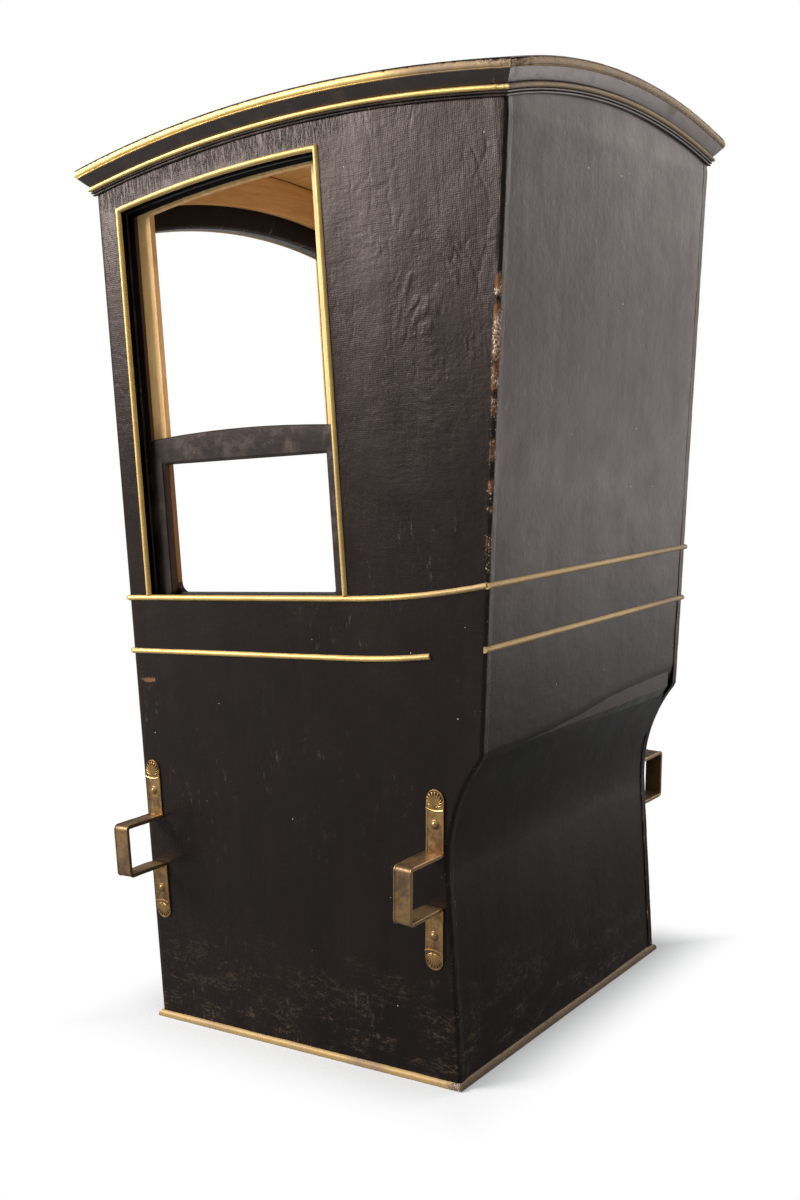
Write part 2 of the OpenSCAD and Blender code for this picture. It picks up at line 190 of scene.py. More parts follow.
def fade(tree, value, start, end):
    # 0 at start, 1 at end, smoothly
    return addNode(tree, "ShaderNodeMapRange", {"Value": value, "From Min": start, "From Max": end},
                   interpolation_type="SMOOTHSTEP").outputs["Result"]


def mixColour(tree, factor, a, b):
    node = tree.nodes.new("ShaderNodeMix")
    node.data_type = "RGBA"
    for index, value in ((0, factor), (6, a), (7, b)):
        if isinstance(value, bpy.types.NodeSocket):
            tree.links.new(value, node.inputs[index])
        elif index == 0:
            node.inputs[index].default_value = value
        else:
            node.inputs[index].default_value = (*value, 1.0)
    return node.outputs[2]


def stretched(tree, vector, scale):
    return addNode(tree, "ShaderNodeMapping", {"Vector": vector, "Scale": scale}).outputs["Vector"]


def cloud(tree, vector, scale, detail=4.0, rough=0.6):
    return addNode(tree, "ShaderNodeTexNoise",
                   {"Vector": vector, "Scale": scale, "Detail": detail, "Roughness": rough}).outputs["Fac"]


def newGroup(name, inputs, outputs):
    group = bpy.data.node_groups.new(name, "ShaderNodeTree")
    for label, kind, value in inputs:
        socket = group.interface.new_socket(label, in_out="INPUT", socket_type=kind)
        if value is not None:
            socket.default_value = value
    for label, kind in outputs:
        group.interface.new_socket(label, in_out="OUTPUT", socket_type=kind)
    return group, group.nodes.new("NodeGroupInput").outputs, group.nodes.new("NodeGroupOutput").inputs


floatKind, vectorKind, colourKind = "NodeSocketFloat", "NodeSocketVector", "NodeSocketColor"


def makeEdgeWearGroup():
    # bare and chipped places where the wear attribute is high
    group, given, result = newGroup(
        "edgeWear",
        [("Vector", vectorKind, None), ("Wear", floatKind, 0.0), ("Scale", floatKind, 60.0),
         ("Amount", floatKind, 0.5)],
        [("Rubbed", floatKind), ("Chips", floatKind)])
    patches = cloud(group, given["Vector"], given["Scale"], 6.0, 0.65)
    reach = times(group, given["Wear"], given["Amount"])
    level = minus(group, 1.0, reach)
    tatters = cloud(group, given["Vector"], 330.0, 4.0, 0.7)
    ragged = plus(group, times(group, patches, 0.80), times(group, tatters, 0.55))
    rubbed = minus(group, minus(group, ragged, 0.22), level)
    group.links.new(fade(group, rubbed, -0.02, 0.20), result["Rubbed"])
    flakes = cloud(group, given["Vector"], times(group, given["Scale"], 4.6), 5.0, 0.8)
    lifted = plus(group, flakes, times(group, reach, 0.215))
    dense = fade(group, cloud(group, given["Vector"], 46.0, 3.0), 0.38, 0.56)
    chips = times(group, fade(group, lifted, 0.71, 0.74), dense)
    chips = times(group, chips, fade(group, reach, 0.02, 0.12))
    group.links.new(chips, result["Chips"])
    return group


def makeWeaveGroup():
    # crossing threads of a painted canvas
    group, given, result = newGroup(
        "canvasWeave", [("Vector", vectorKind, None), ("Threads", floatKind, 130.0)], [("Height", floatKind)])
    warped = addNode(group, "ShaderNodeVectorMath", {0: given["Vector"]}, operation="ADD")
    shift = addNode(group, "ShaderNodeTexNoise", {"Vector": given["Vector"], "Scale": 18.0, "Detail": 2.0})
    small = addNode(group, "ShaderNodeVectorMath", {0: shift.outputs["Color"], "Scale": 0.006}, operation="SCALE")
    group.links.new(small.outputs[0], warped.inputs[1])
    threads = []
    for direction in ("Y", "Z"):
        threads.append(addNode(group, "ShaderNodeTexWave",
                               {"Vector": warped.outputs[0], "Scale": given["Threads"], "Distortion": 1.2,
                                "Detail": 1.0, "Detail Scale": 2.0},
                               bands_direction=direction).outputs["Fac"])
    group.links.new(times(group, plus(group, *threads), 0.5), result["Height"])
    return group


def makeDustGroup():
    # brown dust that gathers towards the ground, and scattered scuffs
    group, given, result = newGroup(
        "dustAndScuffs",
        [("Vector", vectorKind, None), ("Reach", floatKind, 0.20), ("Scuffs", floatKind, 0.5)],
        [("Dust", floatKind), ("Scuff", floatKind), ("Specks", floatKind)])
    height = addNode(group, "ShaderNodeSeparateXYZ", {"Vector": given["Vector"]}).outputs["Z"]
    lowness = minus(group, 1.0, math2(group, "DIVIDE", height, given["Reach"]), clamp=True)
    level = stretched(group, given["Vector"], (1.0, 1.0, 2.4))
    patches = fade(group, cloud(group, level, 11.0, 4.0, 0.6), 0.44, 0.62)
    grit = fade(group, cloud(group, level, 80.0, 9.0, 0.85), 0.50, 0.60)
    patches = times(group, patches, grit)
    group.links.new(times(group, patches, math2(group, "POWER", lowness, 0.7)), result["Dust"])
    slanted = addNode(group, "ShaderNodeMapping",
                      {"Vector": given["Vector"], "Rotation": (0.35, 0.0, 0.0), "Scale": (1.0, 1.0, 0.28)})
    lines = cloud(group, slanted.outputs["Vector"], 90.0, 10.0, 0.85)
    where = fade(group, cloud(group, given["Vector"], 7.0, 4.0), 0.50, 0.62)
    scuff = times(group, fade(group, lines, 0.57, 0.63), where)
    group.links.new(times(group, scuff, given["Scuffs"]), result["Scuff"])
    dots = addNode(group, "ShaderNodeTexVoronoi", {"Vector": given["Vector"], "Scale": 85.0}, feature="F1")
    dot = fade(group, dots.outputs["Distance"], 0.10, 0.05)
    pick = addNode(group, "ShaderNodeSeparateColor", {"Color": dots.outputs["Color"]}).outputs[1]
    group.links.new(times(group, dot, math2(group, "GREATER_THAN", pick, 0.985)), result["Specks"])
    return group


def makeGrainGroup():
    # long wood grain with pores, along whichever way the vector is stretched
    group, given, result = newGroup(
        "woodGrain", [("Vector", vectorKind, None)], [("Tone", floatKind), ("Pores", floatKind)])
    bent = addNode(group, "ShaderNodeTexNoise", {"Vector": given["Vector"], "Scale": 3.0, "Detail": 2.0})
    moved = addNode(group, "ShaderNodeVectorMath", {0: bent.outputs["Color"], "Scale": 0.35}, operation="SCALE")
    bentVector = addNode(group, "ShaderNodeVectorMath", {0: given["Vector"], 1: moved.outputs[0]}, operation="ADD")
    broad = cloud(group, bentVector.outputs[0], 9.0, 5.0, 0.6)
    fine = cloud(group, given["Vector"], 55.0, 6.0, 0.7)
    tone = plus(group, times(group, broad, 0.65), times(group, fine, 0.35))
    group.links.new(tone, result["Tone"])
    group.links.new(fade(group, fine, 0.60, 0.72), result["Pores"])
    return group


wearGroup, weaveGroup, dustGroup, grainGroup = (
    makeEdgeWearGroup(), makeWeaveGroup(), makeDustGroup(), makeGrainGroup())


def newMaterial(name, rough, metallic=0.0, specular=0.5):
    material = bpy.data.materials.new(name)
    material.use_nodes = True
    tree = material.node_tree
    shader = tree.nodes["Principled BSDF"]
    shader.inputs["Roughness"].default_value = rough
    shader.inputs["Metallic"].default_value = metallic
    shader.inputs["Specular IOR Level"].default_value = specular
    vector = tree.nodes.new("ShaderNodeTexCoord").outputs["Object"]
    return material, tree, shader, vector


def attributeOf(tree, name):
    return addNode(tree, "ShaderNodeAttribute", attribute_name=name).outputs["Fac"]


def useGroup(tree, group, inputs):
    node = tree.nodes.new("ShaderNodeGroup")
    node.node_tree = group
    for key, value in inputs.items():
        if isinstance(value, bpy.types.NodeSocket):
            tree.links.new(value, node.inputs[key])
        else:
            node.inputs[key].default_value = value
    return node.outputs


def addBump(tree, shader, layers):
    # layers: (height, strength, distance), one bump feeding the next
    normal = None
    for height, strength, distance in layers:
        bump = addNode(tree, "ShaderNodeBump", {"Height": height, "Strength": strength, "Distance": distance})
        if normal is not None:
            tree.links.new(normal, bump.inputs["Normal"])
        normal = bump.outputs["Normal"]
    tree.links.new(normal, shader.inputs["Normal"])


# measures of the leather cover of the sides and the back
cover = {
    "lift": 0.0024, "sheet": 0.0019, "corner": 0.0032, "flange": 0.0125, "backLift": 0.0014,
    "rowsBelow": 104, "rowsWindow": 88, "rowsAbove": 12, "aboveWindow": 0.060, "underTrim": 0.003,
    "pucker": 0.00060, "buckle": 0.0016, "rings": 0.00042, "ringsAt": (0.285, 1.225),
}

leatherFinish = {
    "dark": (0.0034, 0.0024, 0.0020), "warm": (0.0062, 0.0040, 0.0030), "dust": (0.115, 0.082, 0.054),
    "scuff": (0.065, 0.052, 0.042), "rubbed": (0.120, 0.056, 0.022), "chip": (0.50, 0.44, 0.35),
    "rough": 0.40, "sheen": (1.0, 0.86, 0.81),
}


def wrinkleLayers(tree, vector, strength):
    # upright puckers under the cornice, rings round the slack middle of the panel, and random creases
    xyz = addNode(tree, "ShaderNodeSeparateXYZ", {"Vector": vector}).outputs
    bow = math2(tree, "DIVIDE", times(tree, xyz["Y"], xyz["Y"]), 2 * sideRadius)
    level = plus(tree, xyz["Z"], bow)
    top = chair["windowTop"] + 0.046
    ripples = cloud(tree, stretched(tree, vector, (1, 1, 0.14)), 210.0, 3.0, 0.6)
    ripples = math2(tree, "POWER", fade(tree, ripples, 0.36, 0.66), 1.5)
    reach = times(tree, cloud(tree, stretched(tree, vector, (1, 1, 0.2)), 16.0, 2.0), 0.060)
    under = fade(tree, minus(tree, minus(tree, top, level), reach), 0.020, -0.020)
    under = times(tree, under, fade(tree, xyz["Y"], chair["windowRear"] + 0.14, chair["windowRear"] - 0.02))
    middle = addNode(tree, "ShaderNodeMapping", {"Vector": vector, "Scale": (0, 1, 0.5),
                     "Location": (0, -cover["ringsAt"][0], -0.5 * cover["ringsAt"][1])}).outputs["Vector"]
    bend = addNode(tree, "ShaderNodeTexNoise", {"Vector": vector, "Scale": 14.0, "Detail": 3.0}).outputs["Color"]
    bend = addNode(tree, "ShaderNodeVectorMath", {0: bend, "Scale": 0.034}, operation="SCALE").outputs[0]
    bent = addNode(tree, "ShaderNodeVectorMath", {0: middle, 1: bend}, operation="ADD").outputs[0]
    rings = addNode(tree, "ShaderNodeTexWave", {"Vector": bent, "Scale": 24.0, "Distortion": 5.0, "Detail": 3.0,
                    "Detail Scale": 1.2}, wave_type="RINGS", rings_direction="SPHERICAL").outputs["Fac"]
    away = addNode(tree, "ShaderNodeVectorMath", {0: middle}, operation="LENGTH").outputs["Value"]
    broken = fade(tree, cloud(tree, vector, 18.0, 4.0), 0.44, 0.62)
    near = times(tree, fade(tree, away, 0.115, 0.03), broken)
    creased = addNode(tree, "ShaderNodeTexVoronoi", {"Vector": bent, "Scale": 34.0}, feature="DISTANCE_TO_EDGE")
    crease = fade(tree, creased.outputs["Distance"], 0.0, 0.16)
    zone = times(tree, fade(tree, xyz["Z"], 0.86, 1.0), fade(tree, cloud(tree, vector, 9.0, 3.0), 0.44, 0.60))
    return [(times(tree, ripples, under), strength, 0.0009),
            (times(tree, rings, near), strength, 0.00045),
            (times(tree, crease, zone), strength * 0.5, 0.0004)]


def makeBlackLeather(name, weave=0.0, streaks=0.5, scuffs=0.6, wrinkles=0.0, specular=0.15):
    finish = leatherFinish
    material, tree, shader, vector = newMaterial(name, finish["rough"], specular=specular)
    shader.inputs["Specular Tint"].default_value = (*finish["sheen"], 1.0)
    wear = attributeOf(tree, "wear")
    worn = useGroup(tree, wearGroup, {"Vector": vector, "Wear": wear, "Scale": 60.0, "Amount": 1.0})
    dirt = useGroup(tree, dustGroup, {"Vector": vector, "Scuffs": scuffs})
    tone = fade(tree, cloud(tree, stretched(tree, vector, (1, 1, 0.45)), 7.0, 5.0), 0.40, 0.68)
    colour = mixColour(tree, tone, finish["dark"], finish["warm"])
    colour = mixColour(tree, times(tree, dirt["Dust"], 0.55), colour, finish["dust"])
    colour = mixColour(tree, dirt["Scuff"], colour, finish["scuff"])
    colour = mixColour(tree, times(tree, worn["Rubbed"], 0.9), colour, finish["rubbed"])
    pale = most(tree, worn["Chips"], dirt["Specks"])
    colour = mixColour(tree, pale, colour, finish["chip"])
    tree.links.new(colour, shader.inputs["Base Color"])
    blotch = cloud(tree, vector, 13.0, 6.0, 0.65)
    fine = cloud(tree, vector, 210.0, 3.0, 0.6)
    rough = plus(tree, times(tree, blotch, 0.24), 0.21)
    rough = plus(tree, rough, times(tree, fine, 0.10))
    rough = plus(tree, rough, times(tree, plus(tree, dirt["Dust"], worn["Rubbed"]), 0.30))
    tree.links.new(math2(tree, "MINIMUM", rough, 0.92), shader.inputs["Roughness"])
    drawn = cloud(tree, stretched(tree, vector, (1, 1, 0.10)), 55.0, 4.0, 0.6)
    crossing = cloud(tree, stretched(tree, vector, (0.16, 0.16, 1)), 120.0, 5.0, 0.62)
    creases = cloud(tree, vector, 330.0, 5.0, 0.7)
    tight = fade(tree, cloud(tree, vector, 6.0, 3.0), 0.38, 0.62)
    layers = [(drawn, streaks, 0.0014), (blotch, 0.40, 0.0036), (creases, 0.30, 0.0004),
              (times(tree, crossing, tight), streaks, 0.0012)]
    if weave:
        threads = useGroup(tree, weaveGroup, {"Vector": vector, "Threads": 95.0})["Height"]
        spread = fade(tree, cloud(tree, vector, 4.5, 3.0), 0.30, 0.62)
        layers.append((times(tree, threads, spread), weave, 0.0003))
    if wrinkles:
        layers += wrinkleLayers(tree, vector, wrinkles)
    addBump(tree, shader, layers)
    return material


gildFinish = {
    "bright": (0.58, 0.425, 0.140), "deep": (0.36, 0.235, 0.060), "dull": (0.150, 0.106, 0.066),
    "bare": (0.055, 0.034, 0.020), "gesso": (0.62, 0.52, 0.38),
}


def makeGilding(name="gilding"):
    # attribute "dull": 0 bright leaf, 1 toned and worn; "wear": broken places
    finish = gildFinish
    material, tree, shader, vector = newMaterial(name, 0.45, metallic=0.55, specular=0.4)
    dull, wear = attributeOf(tree, "dull"), attributeOf(tree, "wear")
    worn = useGroup(tree, wearGroup, {"Vector": vector, "Wear": wear, "Scale": 120.0, "Amount": 0.8})
    broad = fade(tree, cloud(tree, vector, 24.0, 6.0, 0.68), 0.40, 0.66)
    fine = cloud(tree, vector, 260.0, 5.0, 0.75)
    grainy = times(tree, fade(tree, fine, 0.50, 0.62), 0.45)
    mottled = most(tree, times(tree, broad, 0.50), grainy)
    colour = mixColour(tree, mottled, finish["bright"], finish["deep"])
    toned = mixColour(tree, times(tree, broad, 0.30), finish["dull"], finish["deep"])
    colour = mixColour(tree, dull, colour, toned)
    colour = mixColour(tree, minus(tree, dull, 1.0, clamp=True), colour, finish["bare"])
    spots = fade(tree, cloud(tree, vector, 95.0, 7.0, 0.75), 0.66, 0.74)
    spots = times(tree, spots, fade(tree, cloud(tree, vector, 11.0, 3.0), 0.50, 0.66))
    bare = most(tree, spots, worn["Rubbed"])
    colour = mixColour(tree, bare, colour, finish["bare"])
    colour = mixColour(tree, worn["Chips"], colour, finish["gesso"])
    tree.links.new(colour, shader.inputs["Base Color"])
    loss = most(tree, bare, worn["Chips"])
    metal = times(tree, minus(tree, 1.0, loss, clamp=True),
                  minus(tree, 0.58, times(tree, dull, 0.50)))
    tree.links.new(metal, shader.inputs["Metallic"])
    rough = plus(tree, times(tree, fine, 0.30), 0.32)
    rough = plus(tree, rough, times(tree, most(tree, dull, loss), 0.16))
    tree.links.new(rough, shader.inputs["Roughness"])
    lumps = cloud(tree, vector, 140.0, 5.0, 0.7)
    addBump(tree, shader, [(lumps, 0.40, 0.0010), (fine, 0.30, 0.0004),
                           (minus(tree, 1.0, loss), 0.5, 0.0004)])
    return material


brassFinish = {"bright": (0.33, 0.205, 0.080), "patina": (0.115, 0.070, 0.037), "grime": (0.022, 0.016, 0.011)}


def makeBrass(name="agedBrass"):
    finish = brassFinish
    material, tree, shader, vector = newMaterial(name, 0.38, metallic=1.0)
    wear = attributeOf(tree, "wear")
    patches = fade(tree, cloud(tree, vector, 34.0, 6.0, 0.68), 0.38, 0.64)
    patches = times(tree, patches, minus(tree, 1.0, wear, clamp=True))
    colour = mixColour(tree, patches, finish["bright"], finish["patina"])
    hollow = attributeOf(tree, "hollow")
    spots = fade(tree, cloud(tree, vector, 150.0, 6.0, 0.7), 0.60, 0.70)
    grime = most(tree, times(tree, hollow, 0.85), times(tree, spots, 0.6))
    colour = mixColour(tree, grime, colour, finish["grime"])
    tree.links.new(colour, shader.inputs["Base Color"])
    metal = minus(tree, 1.0, times(tree, grime, 0.7), clamp=True)
    tree.links.new(metal, shader.inputs["Metallic"])
    fine = cloud(tree, vector, 300.0, 5.0, 0.7)
    rough = plus(tree, times(tree, fine, 0.22), 0.24)
    rough = plus(tree, rough, times(tree, plus(tree, grime, patches), 0.14))
    tree.links.new(rough, shader.inputs["Roughness"])
    addBump(tree, shader, [(cloud(tree, vector, 90.0, 5.0), 0.22, 0.0012), (fine, 0.18, 0.0004)])
    return material


woodFinish = {"pale": (0.80, 0.55, 0.25), "mid": (0.66, 0.42, 0.17), "pore": (0.22, 0.115, 0.040),
              "stain": (0.33, 0.185, 0.070)}


grainWay = {"up": (7.0, 7.0, 0.9), "along": (7.0, 0.9, 7.0), "across": (0.9, 7.0, 7.0)}


def makePaleWood(name, scale):
    # scale stretches the grain along one way of the chair
    finish = woodFinish
    material, tree, shader, vector = newMaterial(name, 0.6, specular=0.3)
    grain = useGroup(tree, grainGroup, {"Vector": stretched(tree, vector, scale)})
    colour = mixColour(tree, fade(tree, grain["Tone"], 0.36, 0.62), finish["pale"], finish["mid"])
    colour = mixColour(tree, times(tree, grain["Pores"], 0.45), colour, finish["pore"])
    stain = fade(tree, cloud(tree, vector, 6.0, 5.0, 0.62), 0.52, 0.74)
    colour = mixColour(tree, times(tree, stain, 0.55), colour, finish["stain"])
    worn = useGroup(tree, wearGroup, {"Vector": vector, "Wear": attributeOf(tree, "wear"), "Scale": 50.0,
                                      "Amount": 0.8})
    colour = mixColour(tree, worn["Rubbed"], colour, finish["pore"])
    tree.links.new(colour, shader.inputs["Base Color"])
    rough = plus(tree, times(tree, grain["Tone"], 0.25), 0.45)
    tree.links.new(rough, shader.inputs["Roughness"])
    addBump(tree, shader, [(grain["Pores"], 0.30, 0.0005), (grain["Tone"], 0.25, 0.0008)])
    return material


paintFinish = {"black": (0.0050, 0.0038, 0.0033), "brown": (0.030, 0.020, 0.0145), "wood": (0.33, 0.20, 0.10)}


def makeBlackPaint(name="blackPaint", scale=(1, 1, 0.06), specular=0.18):
    finish = paintFinish
    material, tree, shader, vector = newMaterial(name, 0.4, specular=specular)
    shader.inputs["Specular Tint"].default_value = (*leatherFinish["sheen"], 1.0)
    worn = useGroup(tree, wearGroup, {"Vector": vector, "Wear": attributeOf(tree, "wear"), "Scale": 70.0,
                                      "Amount": 0.85})
    dirt = useGroup(tree, dustGroup, {"Vector": vector, "Scuffs": 0.5})
    tone = fade(tree, cloud(tree, vector, 19.0, 6.0, 0.66), 0.46, 0.70)
    colour = mixColour(tree, times(tree, tone, 0.6), finish["black"], finish["brown"])
    colour = mixColour(tree, most(tree, dirt["Dust"], dirt["Scuff"]), colour, leatherFinish["dust"])
    colour = mixColour(tree, worn["Rubbed"], colour, finish["brown"])
    colour = mixColour(tree, most(tree, worn["Chips"], dirt["Specks"]), colour, finish["wood"])
    tree.links.new(colour, shader.inputs["Base Color"])
    brush = cloud(tree, stretched(tree, vector, scale), 160.0, 4.0, 0.6)
    rough = plus(tree, times(tree, tone, 0.18), times(tree, brush, 0.14))
    rough = plus(tree, rough, plus(tree, 0.24, times(tree, worn["Rubbed"], 0.25)))
    tree.links.new(rough, shader.inputs["Roughness"])
    addBump(tree, shader, [(brush, 0.22, 0.0006), (cloud(tree, vector, 55.0, 5.0), 0.25, 0.0012)])
    return material


# where the lining's painted shade lies, and the brown of it
liningShade = {
    "skin": 0.0345, "depth": 0.0459, "ragged": 0.0016, "beside": 0.0035, "margin": 0.004, "shadeBand": 0.0085,
    "shadeTop": 1.04, "shadeShare": 0.85, "brown": (0.135, 0.062, 0.026),
}


def makeLiningWoodAndShade(name="liningWoodAndShade"):
    # pale wood with painted shade on its outer face round the window: black at its edge, where it runs in under the
    # wall, and brown low down, behind the lowered sash
    finish = liningShade
    material = makePaleWood(name, grainWay["up"])
    tree = material.node_tree
    shader = tree.nodes["Principled BSDF"]
    place = tree.nodes.new("ShaderNodeTexCoord").outputs["Object"]
    xyz = addNode(tree, "ShaderNodeSeparateXYZ", {"Vector": place}).outputs
    across = math2(tree, "ABSOLUTE", xyz[0])
    outside = math2(tree, "GREATER_THAN", across, half - finish["skin"])
    anyOutside = math2(tree, "GREATER_THAN", across, half - finish["depth"])
    ragged = times(tree, cloud(tree, place, 60.0, 5.0), finish["ragged"])
    y = plus(tree, xyz[1], ragged)
    bow = math2(tree, "DIVIDE", times(tree, xyz[1], xyz[1]), 2 * sideRadius)
    z = plus(tree, xyz[2], plus(tree, bow, ragged))
    frontEdge, rearEdge = chair["windowFront"] - finish["beside"], chair["windowRear"] + finish["beside"]
    # painted shade, black at the sill, at the bottom of the well behind the lowered sash
    sillShade = math2(tree, "LESS_THAN", xyz[2], chair["sill"] + finish["margin"])
    # painted shade, black where the outer face runs in under the wall beside and above the window
    black = math2(tree, "LESS_THAN", y, frontEdge)
    black = most(tree, black, math2(tree, "GREATER_THAN", y, rearEdge))
    black = most(tree, black, math2(tree, "GREATER_THAN", z, chair["windowTop"] - finish["margin"]))
    black = most(tree, black, sillShade)
    # painted shade, brown below the lowered sash's top rail and in a band along the front edge
    lowPart = math2(tree, "LESS_THAN", xyz[2], finish["shadeTop"])
    brown = most(tree, math2(tree, "LESS_THAN", y, frontEdge + finish["shadeBand"]), lowPart)
    outside = most(tree, outside, times(tree, sillShade, anyOutside))
    lowShade = times(tree, anyOutside, times(tree, lowPart, finish["shadeShare"]))
    outside = most(tree, outside, lowShade)
    # the painted shade is laid over the wood's own colour, brown first, then black
    colour = shader.inputs["Base Color"].links[0].from_socket
    colour = mixColour(tree, times(tree, brown, outside), colour, finish["brown"])
    colour = mixColour(tree, times(tree, black, outside), colour, paintFinish["black"])
    tree.links.new(colour, shader.inputs["Base Color"])
    return material


materials = {
    "liningWoodAndShade": makeLiningWoodAndShade(),
    "sideLeather": makeBlackLeather("sideLeather", weave=0.30, streaks=0.30, scuffs=0.8, wrinkles=0.9),
    "backLeather": makeBlackLeather("backLeather", streaks=0.10, scuffs=0.6, specular=0.13),
    "doorLeather": makeBlackLeather("doorLeather", weave=0.25, streaks=0.25, scuffs=0.6),
    "paint": makeBlackPaint(),
    "paintLong": makeBlackPaint("blackPaintLong", (0.3, 0.3, 1), 0.40),
    "gilding": makeGilding(),
    "brass": makeBrass(),
    "woodUp": makePaleWood("paleWoodUpright", grainWay["up"]),
    "woodAlong": makePaleWood("paleWoodAlong", grainWay["along"]),
    "woodAcross": makePaleWood("paleWoodAcross", grainWay["across"]),
}
print("materials made")

# mesh helpers
def setAttribute(mesh, name, values):
    layer = mesh.attributes.get(name) or mesh.attributes.new(name, "FLOAT", "POINT")
    layer.data.foreach_set("value", np.asarray(values, np.float32))


def finishPiece(obj, finish, body="cabin", nodes=(), angle=38):
    mesh = obj.data
    mesh.materials.clear()
    mesh.materials.append(materials[finish])
    mesh.polygons.foreach_set("use_smooth", [True] * len(mesh.polygons))
    mesh.set_sharp_from_angle(angle=math.radians(angle))
    if obj.name not in scene.collection.objects:
        scene.collection.objects.link(obj)
    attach(obj, body)
    if nodes:
        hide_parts(*nodes)
    return obj


def meshFrom(name, points, faces, outward=True):
    mesh = bpy.data.meshes.new(name)
    mesh.from_pydata([tuple(p) for p in points], [], [tuple(int(i) for i in f) for f in faces])
    if outward:
        work = bmesh.new()
        work.from_mesh(mesh)
        bmesh.ops.recalc_face_normals(work, faces=work.faces)
        work.to_mesh(mesh)
        work.free()
    return mesh


class Shape:
    # gathers lofts into one mesh, with the attributes of each point
    def __init__(self):
        self.points, self.faces, self.attributes = [], [], {"wear": [], "dull": [], "hollow": []}

    def add(self, points, faces, wear=0.0, dull=0.0, hollow=0.0):
        start = len(self.points)
        points = [Vector(p) for p in points]
        self.points += points
        self.faces += [[start + int(i) for i in face] for face in faces]
        for key, value in (("wear", wear), ("dull", dull), ("hollow", hollow)):
            self.attributes[key] += [value(p) for p in points] if callable(value) else [value] * len(points)

    def loft(self, sections, ring=False, **attributes):
        sections = np.asarray(sections, float)
        count, size = sections.shape[:2]
        ids = np.arange(count * size).reshape(count, size)
        faces = []
        for i in range(count if ring else count - 1):
            a, b = ids[i], ids[(i + 1) % count]
            for j in range(size):
                k = (j + 1) % size
                faces.append((a[j], a[k], b[k], b[j]))
        if not ring:
            faces += [tuple(ids[0][::-1]), tuple(ids[-1])]
        self.add(sections.reshape(-1, 3), faces, **attributes)

    def addMesh(self, mesh, place, **attributes):
        self.add([place @ v.co for v in mesh.vertices], [list(p.vertices) for p in mesh.polygons], **attributes)

    def roughen(self, amount, scale, seed=0.0):
        # small uneven moves of every point, as of hand work
        for p in self.points:
            q = p * scale
            shift = noise.noise_vector(Vector((q.x + seed, q.y, q.z)))
            p += shift * amount

    def make(self, name, finish, body="cabin", nodes=(), angle=38, mirrored=False):
        points = [Vector((-p.x, p.y, p.z)) for p in self.points] if mirrored else self.points
        mesh = meshFrom(name, points, self.faces)
        for key, values in self.attributes.items():
            setAttribute(mesh, key, values)
        return finishPiece(bpy.data.objects.new(name, mesh), finish, body, nodes, angle)


def applied(obj):
    # the mesh with its modifiers worked in
    if obj.name not in scene.collection.objects:
        scene.collection.objects.link(obj)
    bpy.context.view_layer.update()
    seen = obj.evaluated_get(bpy.context.evaluated_depsgraph_get())
    mesh = bpy.data.meshes.new_from_object(seen)
    obj.modifiers.clear()
    obj.data = mesh
    return obj


def softened(node, name, finish, body="cabin", width=0.0012, segments=2, wear=0.6, dull=0.0, angle=38):
    # a copy of a CAD node with its edges eased, worn along them
    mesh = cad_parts[node].data.copy()
    work = bmesh.new()
    work.from_mesh(mesh)
    bmesh.ops.remove_doubles(work, verts=work.verts, dist=0.00002)
    bmesh.ops.dissolve_limit(work, angle_limit=math.radians(1.0), verts=work.verts, edges=work.edges)
    work.to_mesh(mesh)
    work.free()
    obj = bpy.data.objects.new(name, mesh)
    bevel = obj.modifiers.new("ease", "BEVEL")
    bevel.width, bevel.segments, bevel.limit_method = width, segments, "ANGLE"
    bevel.angle_limit = math.radians(40)
    applied(obj)
    obj.data.name = name
    mesh = obj.data
    work = bmesh.new()
    work.from_mesh(mesh)
    inset = min(0.006, 3 * width)
    large = []
    for face in work.faces:
        lengths = [edge.calc_length() for edge in face.edges]
        if face.calc_area() > 4e-4 and min(lengths) > 0.0004 and face.calc_area() / max(lengths) > 2.5 * inset:
            large.append(face)
    before = set(work.verts)
    bmesh.ops.inset_individual(work, faces=large, thickness=inset, use_even_offset=True)
    work.verts.index_update()
    corner = np.array([1.0 if v in before else 0.0 for v in work.verts])
    work.to_mesh(mesh)
    work.free()
    setAttribute(mesh, "wear", corner * wear)
    setAttribute(mesh, "dull", np.full(len(corner), dull))
    setAttribute(mesh, "hollow", np.zeros(len(corner)))
    return finishPiece(obj, finish, body, [node], angle)


def halfRound(width, height, steps=10):
    # points (across, out) from one edge of a bead to the other
    return [(width / 2 * (1 - math.cos(math.pi * i / steps)), height * math.sin(math.pi * i / steps))
            for i in range(steps + 1)]


def coverRows():
    # each row as (kind, share): below the sill, beside the window, above it
    sill = chair["sill"] - 0.004
    rows = [("low", sill * i / cover["rowsBelow"]) for i in range(cover["rowsBelow"])]
    rows += [("window", i / cover["rowsWindow"]) for i in range(cover["rowsWindow"])]
    rows += [("high", i / cover["rowsAbove"]) for i in range(cover["rowsAbove"] + 1)]
    return rows, sill


def rowHeight(row, sill, x, y):
    kind, share = row
    arch = windowArch(x, y) + cover["underTrim"]
    if kind == "low":
        return share
    if kind == "window":
        return sill + share * (arch - sill)
    return arch + share * cover["aboveWindow"]


def onBack(row, sill, x):
    # where a row of the cover meets the outside of the back
    y = 0.40
    for _ in range(3):
        y = backY(rowHeight(row, sill, x, y))
    return y


